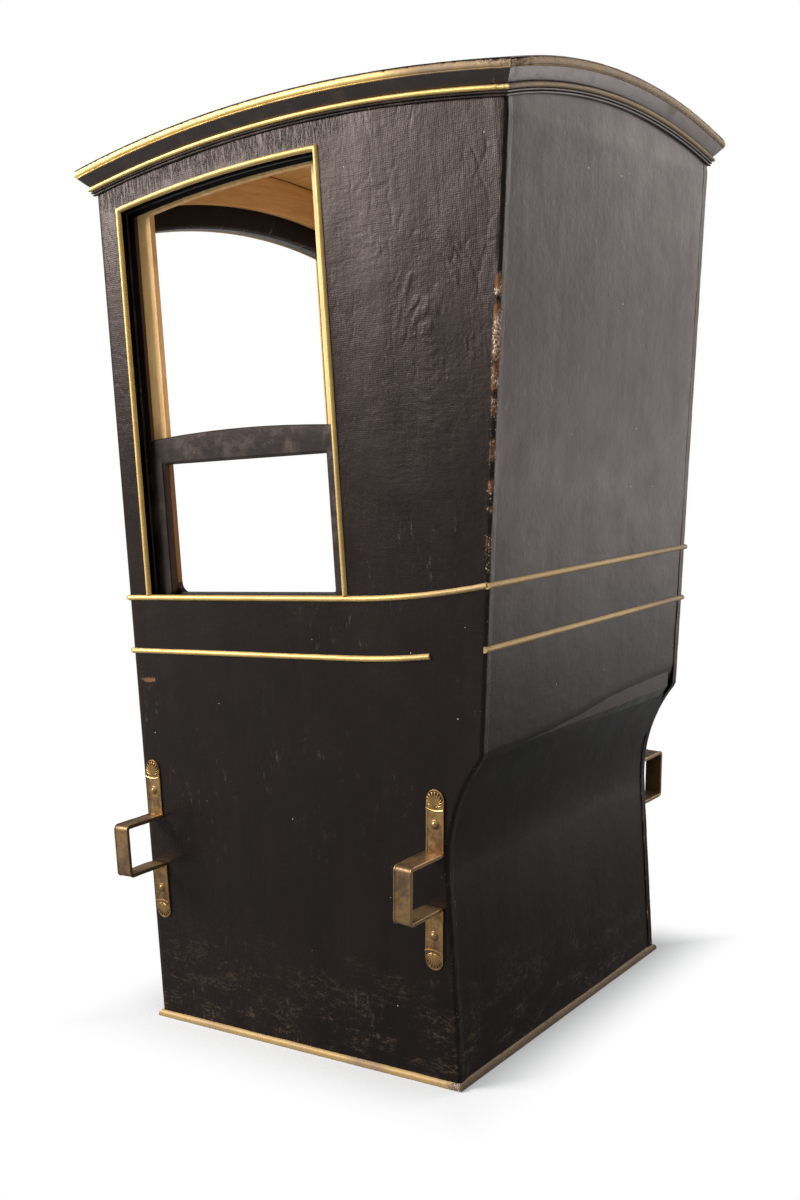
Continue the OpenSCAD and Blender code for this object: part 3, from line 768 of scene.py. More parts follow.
def sideSwell(y, z, seed):
    # wrinkles and buckles of the leather on a side, outwards
    arch = windowArch(half, min(max(y, -0.45), 0.43))
    below = arch + cover["aboveWindow"] - z
    pucker = cover["pucker"] * math.exp(-max(below, 0) / 0.034) * (
        wave(y * 85, z * 9, seed) + 0.6 * wave(y * 190, z * 14, seed + 5))
    buckle = cover["buckle"] * (wave(y * 5.5, z * 2.6, seed + 9) + 0.45 * wave(y * 14, z * 5, seed + 3))
    cy, cz = cover["ringsAt"]
    away = math.hypot(y - cy, (z - cz) * 0.55)
    turn = away / 0.0125 + 1.6 * wave(y * 12, z * 12, seed + 7)
    rings = cover["rings"] * math.sin(turn) * math.exp(-(away / 0.075) ** 2) * (0.6 + wave(y * 20, z * 9, seed + 2))
    shake = 0.00022 * wave(y * 42, z * 24, seed + 13)
    return pucker + buckle + rings + shake


def gridFaces(rows, columns, keep):
    faces = []
    for i in range(rows - 1):
        for j in range(columns - 1):
            if keep(i, j):
                a = i * columns + j
                faces.append((a, a + 1, a + columns + 1, a + columns))
    return faces


def sheetPiece(name, points, faces, outwardWay, wear, finish, nodes, thickness):
    # drops unused points, gives the sheet its thickness and its wear
    used = sorted({i for face in faces for i in face})
    renumber = {old: new for new, old in enumerate(used)}
    mesh = meshFrom(name, [points[i] for i in used], [[renumber[i] for i in f] for f in faces], outward=False)
    first = mesh.polygons[len(mesh.polygons) // 2]
    if first.normal.dot(outwardWay(first.center)) < 0:
        mesh.flip_normals()
    setAttribute(mesh, "wear", [wear[i] for i in used])
    obj = bpy.data.objects.new(name, mesh)
    solid = obj.modifiers.new("thickness", "SOLIDIFY")
    solid.thickness, solid.offset = thickness, -1.0
    applied(obj)
    return finishPiece(obj, finish, "cabin", nodes, 50)


def makeSideCover(side, seed):
    rows, sill = coverRows()
    lift, r, flange = cover["lift"], cover["corner"], cover["flange"]
    edgeFront, edgeRear = chair["windowFront"] - cover["underTrim"], chair["windowRear"] + cover["underTrim"]
    frontColumns = np.linspace(front + r, edgeFront, 8)[:-1]
    windowColumns = np.linspace(edgeFront, edgeRear, 62)
    rearShares = np.linspace(0, 1, 50)[1:]
    columns = [("frontFlange", s) for s in (0, 0.4, 0.8)]
    columns += [("frontArc", a) for a in np.linspace(0, 1, 6)[:-1]]
    columns += [("side", y) for y in frontColumns] + [("side", y) for y in windowColumns]
    columns += [("rearSide", s) for s in rearShares]
    columns += [("rearArc", a) for a in np.linspace(0, 1, 8)[1:]]
    columns += [("rearFlange", s) for s in (0.25, 0.55, 0.85, 1.0)]
    points, wear = [], []
    for row in rows:
        corner = onBack(row, sill, half)
        zCorner = rowHeight(row, sill, half, corner)
        # the lap over the back stands out more below the waist
        lap = 0.0012 * smooth(0.95, 0.62, zCorner)
        for kind, s in columns:
            if kind == "frontFlange":
                x, y, nx, ny, out = half - r - flange * (1 - s), front, 0, -1, 0.0009
            elif kind == "frontArc":
                a = s * math.pi / 2
                nx, ny = math.sin(a), -math.cos(a)
                x, y, out = half - r + r * nx, front + r + r * ny, 0.0009 + (lift - 0.0009) * s
            elif kind == "side":
                x, y, nx, ny, out = half, s, 1, 0, lift
            elif kind == "rearSide":
                x, y, nx, ny, out = half, edgeRear + s * (corner - r - edgeRear), 1, 0, lift
            elif kind == "rearArc":
                a = s * math.pi / 2
                nx, ny = math.cos(a), math.sin(a)
                x, y, out = half - r + r * nx, corner - r + r * ny, lift + lap * s
            else:
                x, y, nx, ny = half - r - flange * s, corner, 0, 1
                out = lift + lap - (0.0006 + lap * 0.2) * s
            z = rowHeight(row, sill, half, y)
            if kind in ("side", "rearSide"):
                near = min(abs(y - edgeFront), abs(y - edgeRear)) if sill < z < windowArch(half, y) else 1
                ease = smooth(0, 0.03, y - front) * smooth(0, 0.035, corner - y) * smooth(-0.004, 0.02, near)
                out += sideSwell(y, z, seed) * ease
            elif kind in ("rearArc", "rearFlange"):
                out += 0.0004 * wave(z * 34, s * 2, seed) + 0.0003 * wave(z * 110, s * 2, seed + 4)
                if kind == "rearFlange" and s == 1.0:
                    x += 0.0016 * wave(z * 26, 3.3, seed) + 0.0008 * wave(z * 95, 1.3, seed)
            points.append(Vector((x + nx * out, y + ny * out, z)))
            # wear: the rear corner from the shoulder to the waist, and less below
            if kind == "rearArc":
                away = abs(s - 0.55) * 0.006
            elif kind == "rearSide":
                away = corner - y - 0.002
            elif kind == "rearFlange":
                away = s * 0.011 + 0.002
            elif kind == "frontArc":
                away = 0.004
            else:
                away = 1
            along = smooth(1.292, 1.275, z) * smooth(0.72, 0.95, z) * (0.62 + 0.26 * smooth(1.08, 1.17, z))
            along = 0.22 + along + 0.18 * smooth(0.62, 0.45, z)
            along *= 0.55 + 0.45 * smooth(-0.45, 0.10, wave(z * 36, seed) + 0.4 * wave(z * 110, seed + 2))
            w = along * max(0.0, 1 - away / 0.0115)
            if kind == "frontArc":
                w = 0.30
            if kind == "rearFlange" and s >= 0.85:
                w = max(w, 0.62 * smooth(0.72, 0.5, z) * (0.65 + 0.9 * wave(z * 30, seed)))
            if side == "left":
                w = max(w, 0.95 * math.exp(-((y + 0.392) / 0.024) ** 2 - ((z - 0.645) / 0.0075) ** 2))
            points[-1].freeze()
            wear.append(w)
    names = [c[0] for c in columns]
    firstWindow = names.index("side") + len(frontColumns)
    lastWindow = firstWindow + len(windowColumns) - 1
    lowRow, highRow = cover["rowsBelow"], cover["rowsBelow"] + cover["rowsWindow"]

    def keep(i, j):
        return not (lowRow <= i < highRow and firstWindow <= j < lastWindow)

    faces = gridFaces(len(rows), len(columns), keep)
    way = 1 if side == "left" else -1
    points = [Vector((p.x * way, p.y, p.z)) for p in points]
    return sheetPiece(side + "SideLeather", points, faces, lambda c: Vector((way, 0.05, 0)), wear,
                      "sideLeather", [], cover["sheet"])


def makeBackCover():
    rows, sill = coverRows()
    reach = half - 0.004
    acrossAt = np.linspace(-reach, reach, 92)
    points, wear = [], []
    for row in rows:
        for x in acrossAt:
            z = rowHeight(row, sill, x, onBack(row, sill, x))
            # the fold at the knee is crisp at the left and softer to the right
            spread = 0.004 + 0.035 * smooth(0.30, -0.30, x)
            blend = backY(z)
            if abs(z - chair["kneeZ"]) < 0.1:
                blend = sum(backY(z + spread * k) for k in (-1, -0.5, 0, 0.5, 1)) / 5
            swell = 0.0011 * wave(x * 4.5, z * 2.2, 31) + 0.00035 * wave(x * 15, z * 5, 33)
            swell += 0.00016 * wave(x * 60, z * 4, 37)
            ridge = math.exp(-((x - 0.100) / 0.0016) ** 2)
            swell += 0.0012 * ridge * smooth(1.25, 1.30, z) * smooth(1.42, 1.38, z) * 0.35
            swell *= smooth(0, 0.03, reach - abs(x))
            points.append(Vector((x, blend + cover["backLift"] + swell, z)))
            edge = max(0.0, 1 - (reach - abs(x)) / 0.03)
            wear.append(0.28 * edge * smooth(0.7, 1.0, z))
    faces = gridFaces(len(rows), len(acrossAt), lambda i, j: True)
    return sheetPiece("backLeather", points, faces, lambda c: Vector((0, 1, 0)), wear, "backLeather", [], 0.0012)


makeSideCover("left", 1.7)
makeSideCover("right", 8.3)
makeBackCover()
for wall in ("left_side_wall", "right_side_wall", "back_wall"):
    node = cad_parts[wall]
    node.data.materials.clear()
    node.data.materials.append(materials["paint"])
print("leather cover made")

# cornice
cornice = {
    "fascia": 0.013, "height": 0.048, "bead": 0.008, "thinBeads": 0.009, "beadOut": 0.0084,
    "stations": 260, "crumble": 0.0013,
}


def corniceProfiles():
    # lists of (depth below the top edge, distance out from the wall)
    fascia, height, bead = cornice["fascia"], cornice["height"], cornice["bead"]
    coveEnd = height - cornice["thinBeads"] - bead
    out, beadOut = overhang, cornice["beadOut"]
    gilt = [(0.0, out - 0.012), (0.0, out - 0.0030), (0.0006, out - 0.0012), (0.0020, out - 0.0002),
            (0.0040, out), (0.0065, out), (0.0085, out - 0.0006), (0.0100, out - 0.0016),
            (0.0108, out - 0.0030), (0.0112, out - 0.0022), (0.0122, out - 0.0018), (fascia, out - 0.0030),
            (fascia, out - 0.012)]
    # the cove curves in from under the fascia to the gilt bead
    cove = []
    start, end = (fascia, out - 0.0040), (coveEnd, beadOut + 0.0006)
    for i in range(11):
        a = i / 10 * math.pi / 2
        cove.append((start[0] + (end[0] - start[0]) * math.sin(a),
                     end[1] + (start[1] - end[1]) * (1 - math.sin(a)) ** 0.9))
    thin = []
    for base, tip in ((coveEnd + bead + 0.0002, 0.0088), (coveEnd + bead + 0.0046, 0.0068)):
        for i in range(7):
            a = math.pi * i / 6
            thin.append((base + 0.0042 * (1 - math.cos(a)) / 2, tip - 0.0032 + 0.0032 * math.sin(a)))
    core = [(fascia - 0.0005, 0.0), (fascia - 0.0005, out - 0.0040)] + cove
    core += [(coveEnd + 0.0002, beadOut), (coveEnd + bead, beadOut - 0.001)] + thin + [(height, 0.0)]
    roll = [(coveEnd + 0.0002, beadOut - 0.002)]
    for i in range(11):
        a = math.pi * i / 10
        roll.append((coveEnd + 0.0004 + (bead - 0.0004) * (1 - math.cos(a)) / 2, beadOut + 0.0046 * math.sin(a)))
    roll.append((coveEnd + bead, beadOut - 0.002))
    return gilt, core, roll


def corniceSections(which, profile, damage=None):
    # stations from one mitre to the other; which is left, right, front or back
    across = which in ("front", "back")
    wall, run = (rear, half) if across else (half, rear)
    radius, crown = (endRadius, endTop) if across else (sideRadius, sideTop)
    otherRadius, otherCrown = (sideRadius, sideTop) if across else (endRadius, endTop)
    sections = []
    for i in range(cornice["stations"] + 1):
        t = -math.cos(math.pi * i / cornice["stations"])
        t = 0.35 * t + 0.65 * (2 * i / cornice["stations"] - 1)
        row = []
        for depth, out in profile:
            u = t * (run + out)
            z = crown - radius + math.sqrt((radius - depth) ** 2 - u * u)
            corner = crown - radius + math.sqrt((radius - depth) ** 2 - (run + out) ** 2)
            other = otherCrown - otherRadius + math.sqrt((otherRadius - depth) ** 2 - (wall + out) ** 2)
            z += (other - corner) / 2 * abs(t) ** 8
            p = Vector((u, wall + out, z)) if across else Vector((wall + out, u, z))
            if which == "front":
                p.y = -p.y
            if which == "right":
                p.x = -p.x
            if damage:
                p = damage(p, depth, out, t)
            row.append(p)
        sections.append(row)
    return sections


def fasciaDamage(which):
    amount = cornice["crumble"]
    seed = {"left": 3.0, "right": 17.0, "front": 29.0, "back": 41.0}[which]

    def move(p, depth, out, t):
        onFace = 1 if out > overhang - 0.006 else 0
        edge = max(0.0, 1 - depth / 0.0035) * onFace
        run = p.y if which in ("left", "right") else p.x
        crumbs = max(0.0, wave(run * 160, seed) + 0.55 * wave(run * 420, seed + 2) - 0.05)
        loss = edge * crumbs * amount * 1.9
        # the corner at the rear left is broken, the one at the rear right less so
        broken = 0.0
        if p.y > 0.38:
            near = max(0.0, 1 - math.hypot(p.x - half, p.y - rear - overhang) / 0.055)
            far = max(0.0, 1 - math.hypot(p.x + half + overhang, p.y - rear) / 0.045)
            broken = max(near, far * 0.8)
        bite = broken * max(0.0, 0.35 + wave(run * 60, depth * 300, seed + 8)) * 0.0065 * onFace
        if which in ("left", "right"):
            inward = Vector((-math.copysign(1, p.x), 0, 0))
        else:
            inward = Vector((0, -math.copysign(1, p.y), 0))
        p = p + inward * (loss * 0.9 + bite) + Vector((0, 0, -loss * 0.9 - bite * edge * 0.5))
        p += inward * 0.0003 * wave(run * 35, depth * 200, seed + 4)
        return p

    return move


def giltDull(which):
    def value(p):
        if which == "left":
            toned = 0.80 * smooth(0.20, 0.30, p.y) * smooth(0.012, 0.022, p.x - half)
            return 0.10 + toned + 0.25 * max(0.0, wave(p.y * 9, p.z * 9, 5))
        if which == "back":
            return 0.94
        return 0.35 + 0.4 * max(0.0, wave(p.x * 5, p.y * 5, 2))
    return value


def giltWear(which, base=0.16):
    def value(p):
        top = smooth(0.006, 0.001, sideTop - drop(sideRadius, p.y) - p.z) if which in ("left", "right") else 0.0
        near = max(0.0, 1 - math.hypot(p.x - half, p.y - rear) / 0.085) if p.y > 0.3 else 0.0
        far = max(0.0, 1 - math.hypot(p.x + half, p.y - rear) / 0.07) if p.y > 0.3 else 0.0
        return min(1.0, base + 0.30 * top + 0.75 * max(near, far))
    return value


gilt, core, roll = corniceProfiles()
for which in ("left", "right", "front", "back"):
    black = Shape()
    black.loft(corniceSections(which, core),
               wear=lambda p: 0.12 + 0.6 * max(0.0, 1 - math.hypot(p.x - half, p.y - rear) / 0.05))
    black.make(which + "Cove", "paintLong", nodes=[which + "_cornice"], angle=32)
    gold = Shape()
    gold.loft(corniceSections(which, gilt, fasciaDamage(which)), wear=giltWear(which), dull=giltDull(which))
    gold.loft(corniceSections(which, roll), wear=giltWear(which, 0.12), dull=giltDull(which))
    gold.roughen(0.00022, 130, 2.0)
    gold.make(which + "CorniceGilding", "gilding", nodes=[which + "_cornice_gilding"], angle=40)
print("cornice made")

# roof cover, and the boards of the ceiling
roof = {"steps": 90, "edge": 0.0015, "thickness": 0.0016, "lift": 0.0012, "boards": 7, "boardDrop": 0.0140,
        "ceilingHalf": half - 0.047, "ceilingFront": -0.380, "ceilingRear": 0.402}


def makeRoofCover():
    count = roof["steps"]
    xs = np.linspace(-(half + overhang - roof["edge"]), half + overhang - roof["edge"], count + 1)
    ys = np.linspace(-(rear + overhang - roof["edge"]), rear + overhang - roof["edge"], count + 1)
    points, wear = [], []
    for y in ys:
        for x in xs:
            inside = min(half + overhang - abs(x), rear + overhang - abs(y))
            swell = 0.0011 * wave(x * 5, y * 4, 51) + 0.0004 * wave(x * 19, y * 15, 53)
            z = roofZ(x, y) + roof["lift"] + swell * smooth(0.0, 0.06, inside)
            edge = smooth(0.012, 0.002, inside)
            points.append(Vector((x + 0.0006 * wave(y * 50, x) * edge, y + 0.0006 * wave(x * 50, y) * edge, z)))
            wear.append(0.5 * edge)
    faces = gridFaces(count + 1, count + 1, lambda i, j: True)
    sheetPiece("roofLeather", points, faces, lambda c: Vector((0, 0, 1)), wear, "backLeather",
               ["roof_shell"], roof["thickness"])


def makeCeiling():
    boards = Shape()
    reach = roof["ceilingHalf"]
    width = 2 * reach / roof["boards"]
    outline = [(0.0, 0), (0.0004, -0.0048), (0.0016, -0.006), (width * 0.25, -0.006), (width * 0.5, -0.006),
               (width * 0.75, -0.006), (width - 0.0024, -0.006), (width - 0.0012, -0.0048), (width - 0.0008, 0)]
    for b in range(roof["boards"]):
        x0 = -reach + b * width
        sections = []
        for y in np.linspace(roof["ceilingFront"], roof["ceilingRear"], 40):
            sway = 0.0006 * wave(b * 3.1, y * 3)
            sections.append([(x0 + dx, y, roofZ(x0 + dx, y) - roof["boardDrop"] + dz + sway) for dx, dz in outline])
        boards.loft(sections, wear=0.0)
    boards.make("ceilingBoards", "woodAlong", nodes=["roof_shell"])
    deck = Shape()
    sections = []
    for y in np.linspace(-rear + 0.002, rear - 0.002, 30):
        xs = np.linspace(-half + 0.002, half - 0.002, 25)
        upper = [(x, y, roofZ(x, y) - 0.0008) for x in xs]
        sections.append(upper + [(x, y, roofZ(x, y) - 0.0125) for x in xs[::-1]])
    deck.loft(sections)
    deck.make("roofDeck", "paint", nodes=["roof_shell"])


makeRoofCover()
makeCeiling()
print("roof made")

# window trims, mouldings at the waist and the foot
trim = {"width": 0.010, "height": 0.0068, "jitter": 0.00022, "reveal": 0.0032, "fillet": 0.019}


def ribbon(shape, inner, outer, normal, profile, **attributes):
    # lays a profile between two lines of points
    sections = []
    for a, b in zip(inner, outer):
        a, b = Vector(a), Vector(b)
        sections.append([a + (b - a) * (f / trim["width"]) + normal * h for f, h in profile])
    shape.loft(sections, **attributes)


def windowLines(margin):
    x = half + 0.0002
    y0, y1 = chair["windowFront"] - margin, chair["windowRear"] + margin
    sill = chair["sill"] - 0.001

    def arch(y):
        return chair["windowTop"] + margin - (sideRadius + margin - math.sqrt((sideRadius + margin) ** 2 - y * y))

    line = [(x, y0, z) for z in np.linspace(sill, arch(y0), 60)]
    line += [(x, y, arch(y)) for y in np.linspace(y0, y1, 60)[1:]]
    line += [(x, y1, z) for z in np.linspace(arch(y1), sill, 60)[1:]]
    return line


def makeWindowTrim(side):
    shape = Shape()
    ribbon(shape, windowLines(0.0), windowLines(trim["width"]), Vector((1, 0, 0)),
           halfRound(trim["width"], trim["height"], 10),
           wear=lambda p: 0.20 + 0.25 * smooth(1.3, 1.5, p.z),
           dull=lambda p: 0.22 + 0.3 * max(0.0, wave(p.y * 8, p.z * 8, 3)))
    shape.roughen(trim["jitter"], 90, 4.0)
    shape.make(side + "WindowTrim", "gilding", nodes=[side + "_window_trim"], mirrored=side == "right")
    # a small black bead runs round the reveal behind the trim
    reveal = Shape()
    ribbon(reveal, windowLines(-trim["reveal"]), windowLines(0.0), Vector((1, 0, 0)),
           [(f * trim["width"] / trim["reveal"], h) for f, h in halfRound(trim["reveal"], trim["reveal"], 6)],
           wear=0.1)
    reveal.points = [p - Vector((0.013, 0, 0)) for p in reveal.points]
    reveal.make(side + "RevealBead", "paint", nodes=[side + "_side_wall"], mirrored=side == "right")
    # black fillets round the lower corners of the lining's opening: painted shade in the corners at the bottom of
    # the well behind the sash
    corners = Shape()
    r, sill = trim["fillet"], chair["sill"] - 0.001
    for y, way in ((chair["windowFront"] + 0.035, 1), (chair["windowRear"] - 0.035, -1)):
        curve = [(y + way * r * (1 - math.cos(a)), sill + r * (1 - math.sin(a)))
                 for a in np.linspace(0, math.pi / 2, 9)]
        outline = [(y - way * 0.001, sill - 0.001), (y - way * 0.001, curve[0][1])] + curve
        outline.append((curve[-1][0], sill - 0.001))
        corners.loft([[(x, *spot) for spot in outline] for x in (half - 0.0458, half - 0.0342)], wear=0.2)
    corners.make(side + "OpeningCornerShade", "paint", nodes=[side + "_lining"], mirrored=side == "right")


waist = {"width": 0.010, "height": 0.0066, "turn": chair["windowRear"] + 0.010, "lost": 0.103}


def waistLine(middle, yEnd):
    radius = archRadius(backY(middle) - waist["turn"], chair["waistRise"])
    line = []
    for y in np.linspace(front, yEnd, 150):
        z = middle + (drop(radius, y - waist["turn"]) if y > waist["turn"] else 0)
        line.append(Vector((half + 0.0004, y, z)))
    return line


def bead(shape, line, normal, width, height, **attributes):
    # a half-round along a line
    profile = halfRound(width, height, 8)
    sections = []
    for i, p in enumerate(line):
        ahead = (line[min(i + 1, len(line) - 1)] - line[max(i - 1, 0)]).normalized()
        across = ahead.cross(normal).normalized()
        sections.append([p + across * (f - width / 2) + normal * h for f, h in profile])
    shape.loft(sections, **attributes)


def makeWaistMouldings(side):
    shape = Shape()
    # the rear stretch of the left side's lower moulding is lost
    lost = waist["lost"] if side == "left" else 0.0
    for middle, end in ((chair["upperWaist"], backY(chair["upperWaist"]) + 0.004),
                        (chair["lowerWaist"], backY(chair["lowerWaist"]) + 0.004 - lost)):
        bead(shape, waistLine(middle, end), Vector((1, 0, 0)), waist["width"], waist["height"],
             wear=lambda p: 0.18 + 0.5 * smooth(0.02, 0.0, backY(p.z) - p.y),
             dull=lambda p: 0.20 + 0.45 * smooth(0.12, 0.3, p.y))
    shape.roughen(0.00024, 90, 6.0)
    shape.make(side + "WaistMouldings", "gilding", nodes=[side + "_waist_mouldings"], mirrored=side == "right")


def makeBackWaist():
    shape = Shape()
    normal = Vector((0, math.cos(recline), -math.sin(recline)))
    for middle in (chair["upperWaist"] + chair["waistRise"], chair["lowerWaist"] + chair["waistRise"]):
        line = [Vector((x, backY(middle) + 0.0004, middle)) for x in np.linspace(-half - 0.005, half + 0.005, 150)]
        bead(shape, line, normal, waist["width"], waist["height"],
             wear=lambda p: 0.16 + 0.5 * smooth(0.30, 0.35, abs(p.x)),
             dull=lambda p: 0.62 + 0.3 * smooth(-0.1, -0.3, p.x))
    shape.roughen(0.00024, 90, 8.0)
    shape.make("backWaistMouldings", "gilding", nodes=["back_waist_mouldings"])


def makePostMouldings():
    shape = Shape()
    inner = high("left_front_post", "x") - 0.046
    for way in (1, -1):
        for middle in (chair["upperWaist"], chair["lowerWaist"]):
            line = [Vector((way * x, front, middle)) for x in np.linspace(inner + 0.0005, half + 0.005, 14)]
            bead(shape, line, Vector((0, -1, 0)), waist["width"], waist["height"], wear=0.25, dull=0.35)
    shape.make("postMouldings", "gilding", nodes=["post_mouldings"])


footMoulding = {"height": 0.012, "depth": 0.008}


def footProfile():
    h, d = footMoulding["height"], footMoulding["depth"]
    return [(0, 0), (0, d - 0.0012), (0.0012, d), (h * 0.45, d), (h * 0.62, d * 0.93), (h * 0.78, d * 0.78),
            (h * 0.90, d * 0.52), (h * 0.97, d * 0.24), (h, 0)]


def makeFootMouldings():
    for side in ("left", "right"):
        shape = Shape()
        sections = [[(half + out, (front - out) + t * (foot + out - front + out), z) for z, out in footProfile()]
                    for t in np.linspace(0, 1, 170)]
        shape.loft(sections,
                   wear=lambda p: 0.34 + 0.45 * max(0.0, wave(p.y * 14, 3)) + 0.6 * smooth(0.20, 0.25, p.y),
                   dull=lambda p: 0.66 + 0.5 * max(0.0, wave(p.y * 9, 1)))
        shape.roughen(0.0003, 70, 9.0)
        shape.make(side + "FootMoulding", "gilding", nodes=[side + "_foot_moulding"], mirrored=side == "right")
    for end, y0, way in (("front", front, -1), ("back", foot, 1)):
        shape = Shape()
        sections = []
        for t in np.linspace(-1, 1, 140):
            sections.append([(t * (half + out), y0 + way * out, z) for z, out in footProfile()])
        if end == "back":
            shape.loft(sections, wear=lambda p: 0.55 + 0.4 * wave(p.x * 20, 2),
                       dull=lambda p: 0.95 + 0.85 * smooth(0.0112, 0.0095, p.z))
        else:
            shape.loft(sections, wear=0.35, dull=0.35)
        shape.roughen(0.0003, 70, 11.0)
        shape.make(end + "FootMoulding", "gilding", nodes=[end + "_foot_moulding"])


for side in ("left", "right"):
    makeWindowTrim(side)
    makeWaistMouldings(side)
makeBackWaist()
makePostMouldings()
makeFootMouldings()
print("mouldings made")

# pieces whose CAD shape is right, with eased and worn edges
for node, name, finish, width in (
        ("left_front_post", "leftPost", "paint", 0.0022), ("right_front_post", "rightPost", "paint", 0.0022),
        ("front_head", "frontHead", "woodAcross", 0.0012), ("door_stops", "doorStops", "woodUp", 0.0012),
        ("seat_board", "seatBoard", "woodAcross", 0.0030),
        ("seat_front_panel", "seatFrontPanel", "woodAcross", 0.0012),
        ("seat_cleats", "seatCleats", "woodAlong", 0.0012), ("floor_board", "floorBoard", "woodAlong", 0.0012),
        ("door_sill", "doorSill", "paintLong", 0.0020),
        ("left_lining", "leftLining", "liningWoodAndShade", 0.0008), ("right_lining", "rightLining", "liningWoodAndShade", 0.0008)):
    softened(node, name, finish, width=width, wear=0.45)
for node, name, finish, width in (
        ("door", "doorLeaf", "doorLeather", 0.0018), ("door_waist_moulding", "doorWaistMoulding", "gilding", 0.0024),
        ("door_window_trim", "doorWindowTrim", "gilding", 0.0024),
        ("door_hinge_leaves", "doorHingeLeaves", "brass", 0.0006)):
    softened(node, name, finish, "door", width=width, wear=0.5, dull=0.3)
softened("post_hinge_leaves", "postHingeLeaves", "brass", width=0.0006, wear=0.5)
softened("hinge_pins", "hingePins", "brass", width=0.0008, wear=0.5)
print("joinery eased")

# the lowered sashes
sash = {"stile": 0.045, "rail": 0.054, "chamfer": 0.0016, "rebate": 0.004}


def makeSash(side):
    lowBox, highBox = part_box("left_window_sash")
    middle = (lowBox.y + highBox.y) / 2
    reach = highBox.y - middle

    def ring(shrink, railShrink):
        # bottom left, up, over the top, down, and back along the foot
        y0, y1 = middle - reach + shrink, middle + reach - shrink
        foot0 = lowBox.z + railShrink

        def top(y):
            if railShrink:
                return highBox.z - railShrink
            return highBox.z - sideRadius + math.sqrt(sideRadius ** 2 - (y - middle) ** 2)

        line = [(y0, z) for z in np.linspace(foot0, top(y0), 30)]
        line += [(y, top(y)) for y in np.linspace(y0, y1, 50)[1:]]
        line += [(y1, z) for z in np.linspace(top(y1), foot0, 30)[1:]]
        line += [(y, foot0) for y in np.linspace(y1, y0, 50)[1:-1]]
        return line

    c, g = sash["chamfer"], sash["rebate"]
    thickness = highBox.x - lowBox.x
    outer, inner = ring(0.0, 0.0), ring(sash["stile"], sash["rail"])
    width = sash["stile"]
    # share of the way from the outer edge to the opening, and depth from the outer face
    profile = [(0, c), (c / width, 0), (1 - (g + c) / width, 0), (1 - g / width, 0.0003),
               (1 - (g - 0.0006) / width, 0.0022), (1 - c / width, 0.0028),
               (1, 0.0028 + c), (1, thickness - c), (1 - c / width, thickness),
               (c / width, thickness), (0, thickness - c)]
    sections = []
    for (ya, za), (yb, zb) in zip(outer, inner):
        sections.append([(highBox.x - depth, ya + (yb - ya) * f, za + (zb - za) * f) for f, depth in profile])
    shape = Shape()
    shape.loft(sections, ring=True, wear=0.15)
    shape.make(side + "Sash", "paintLong", nodes=[side + "_window_sash"], angle=30, mirrored=side == "right")


for side in ("left", "right"):
    makeSash(side)
print("sashes made")

# brass pole brackets
bracket = {
    "width": high("left_front_pole_bracket", "y") - low("left_front_pole_bracket", "y"), "thickness": 0.005,
    "length": 0.300, "loop": 0.086, "reach": 0.089, "height": 0.345, "bend": 0.0045, "rearLean": 4.5, "ribs": 11,
    "shell": 0.0265, "plate": 0.0065, "rivet": 0.0925, "shellFoot": 0.0125,
    "step": ((0, 0), (0.0003, 0.0020), (0.0014, 0.0026), (0.0027, 0.0022), (0.0034, 0)),
}


def finishTree(tree, geometry, given, result):
    # real geometry with the finish on it
    real = addNode(tree, "GeometryNodeRealizeInstances", {"Geometry": geometry})
    coloured = addNode(tree, "GeometryNodeSetMaterial", {"Geometry": real.outputs[0], "Material": given["Finish"]})
    tree.links.new(coloured.outputs[0], result["Geometry"])
    return tree


def ribTree():
    # a fan of tapered ribs, one scallop shell
    tree = bpy.data.node_groups.new("scallopShell", "GeometryNodeTree")
    for label, kind, value in (("Ribs", "NodeSocketInt", 11), ("Length", floatKind, 0.0135),
                               ("Thickness", floatKind, 0.0016), ("Spread", floatKind, 3.0)):
        tree.interface.new_socket(label, in_out="INPUT", socket_type=kind).default_value = value
    tree.interface.new_socket("Finish", in_out="INPUT", socket_type="NodeSocketMaterial")
    tree.interface.new_socket("Geometry", in_out="OUTPUT", socket_type="NodeSocketGeometry")
    given, result = tree.nodes.new("NodeGroupInput").outputs, tree.nodes.new("NodeGroupOutput").inputs
    ball = addNode(tree, "GeometryNodeMeshUVSphere", {"Segments": 10, "Rings": 9, "Radius": 0.5})
    halfLength = times(tree, given["Length"], 0.5)
    size = addNode(tree, "ShaderNodeCombineXYZ",
                   {"X": times(tree, given["Length"], 0.17), "Y": given["Length"],
                    "Z": times(tree, given["Thickness"], 2.0)})
    ahead = addNode(tree, "ShaderNodeCombineXYZ", {"Y": halfLength})
    rib = addNode(tree, "GeometryNodeTransform", {"Geometry": ball.outputs["Mesh"], "Scale": size.outputs[0],
                                                  "Translation": ahead.outputs[0]})
    dots = addNode(tree, "GeometryNodeMeshLine", {"Count": given["Ribs"], "Offset": (0.0, 0.0, 0.0)})
    index = tree.nodes.new("GeometryNodeInputIndex").outputs[0]
    share = math2(tree, "DIVIDE", index, minus(tree, given["Ribs"], 1.0))
    angle = times(tree, minus(tree, share, 0.5), given["Spread"])
    turn = addNode(tree, "ShaderNodeCombineXYZ", {"Z": angle})
    # outer ribs are shorter, which gives the shell its rounded outline
    aside = minus(tree, share, 0.5)
    shrink = minus(tree, 1.0, times(tree, times(tree, aside, aside), 1.55))
    taper = addNode(tree, "ShaderNodeCombineXYZ", {"X": shrink, "Y": shrink, "Z": 1.0})
    fan = addNode(tree, "GeometryNodeInstanceOnPoints",
                  {"Points": dots.outputs["Mesh"], "Instance": rib.outputs["Geometry"],
                   "Rotation": turn.outputs[0], "Scale": taper.outputs[0]})
    return finishTree(tree, fan.outputs[0], given, result)


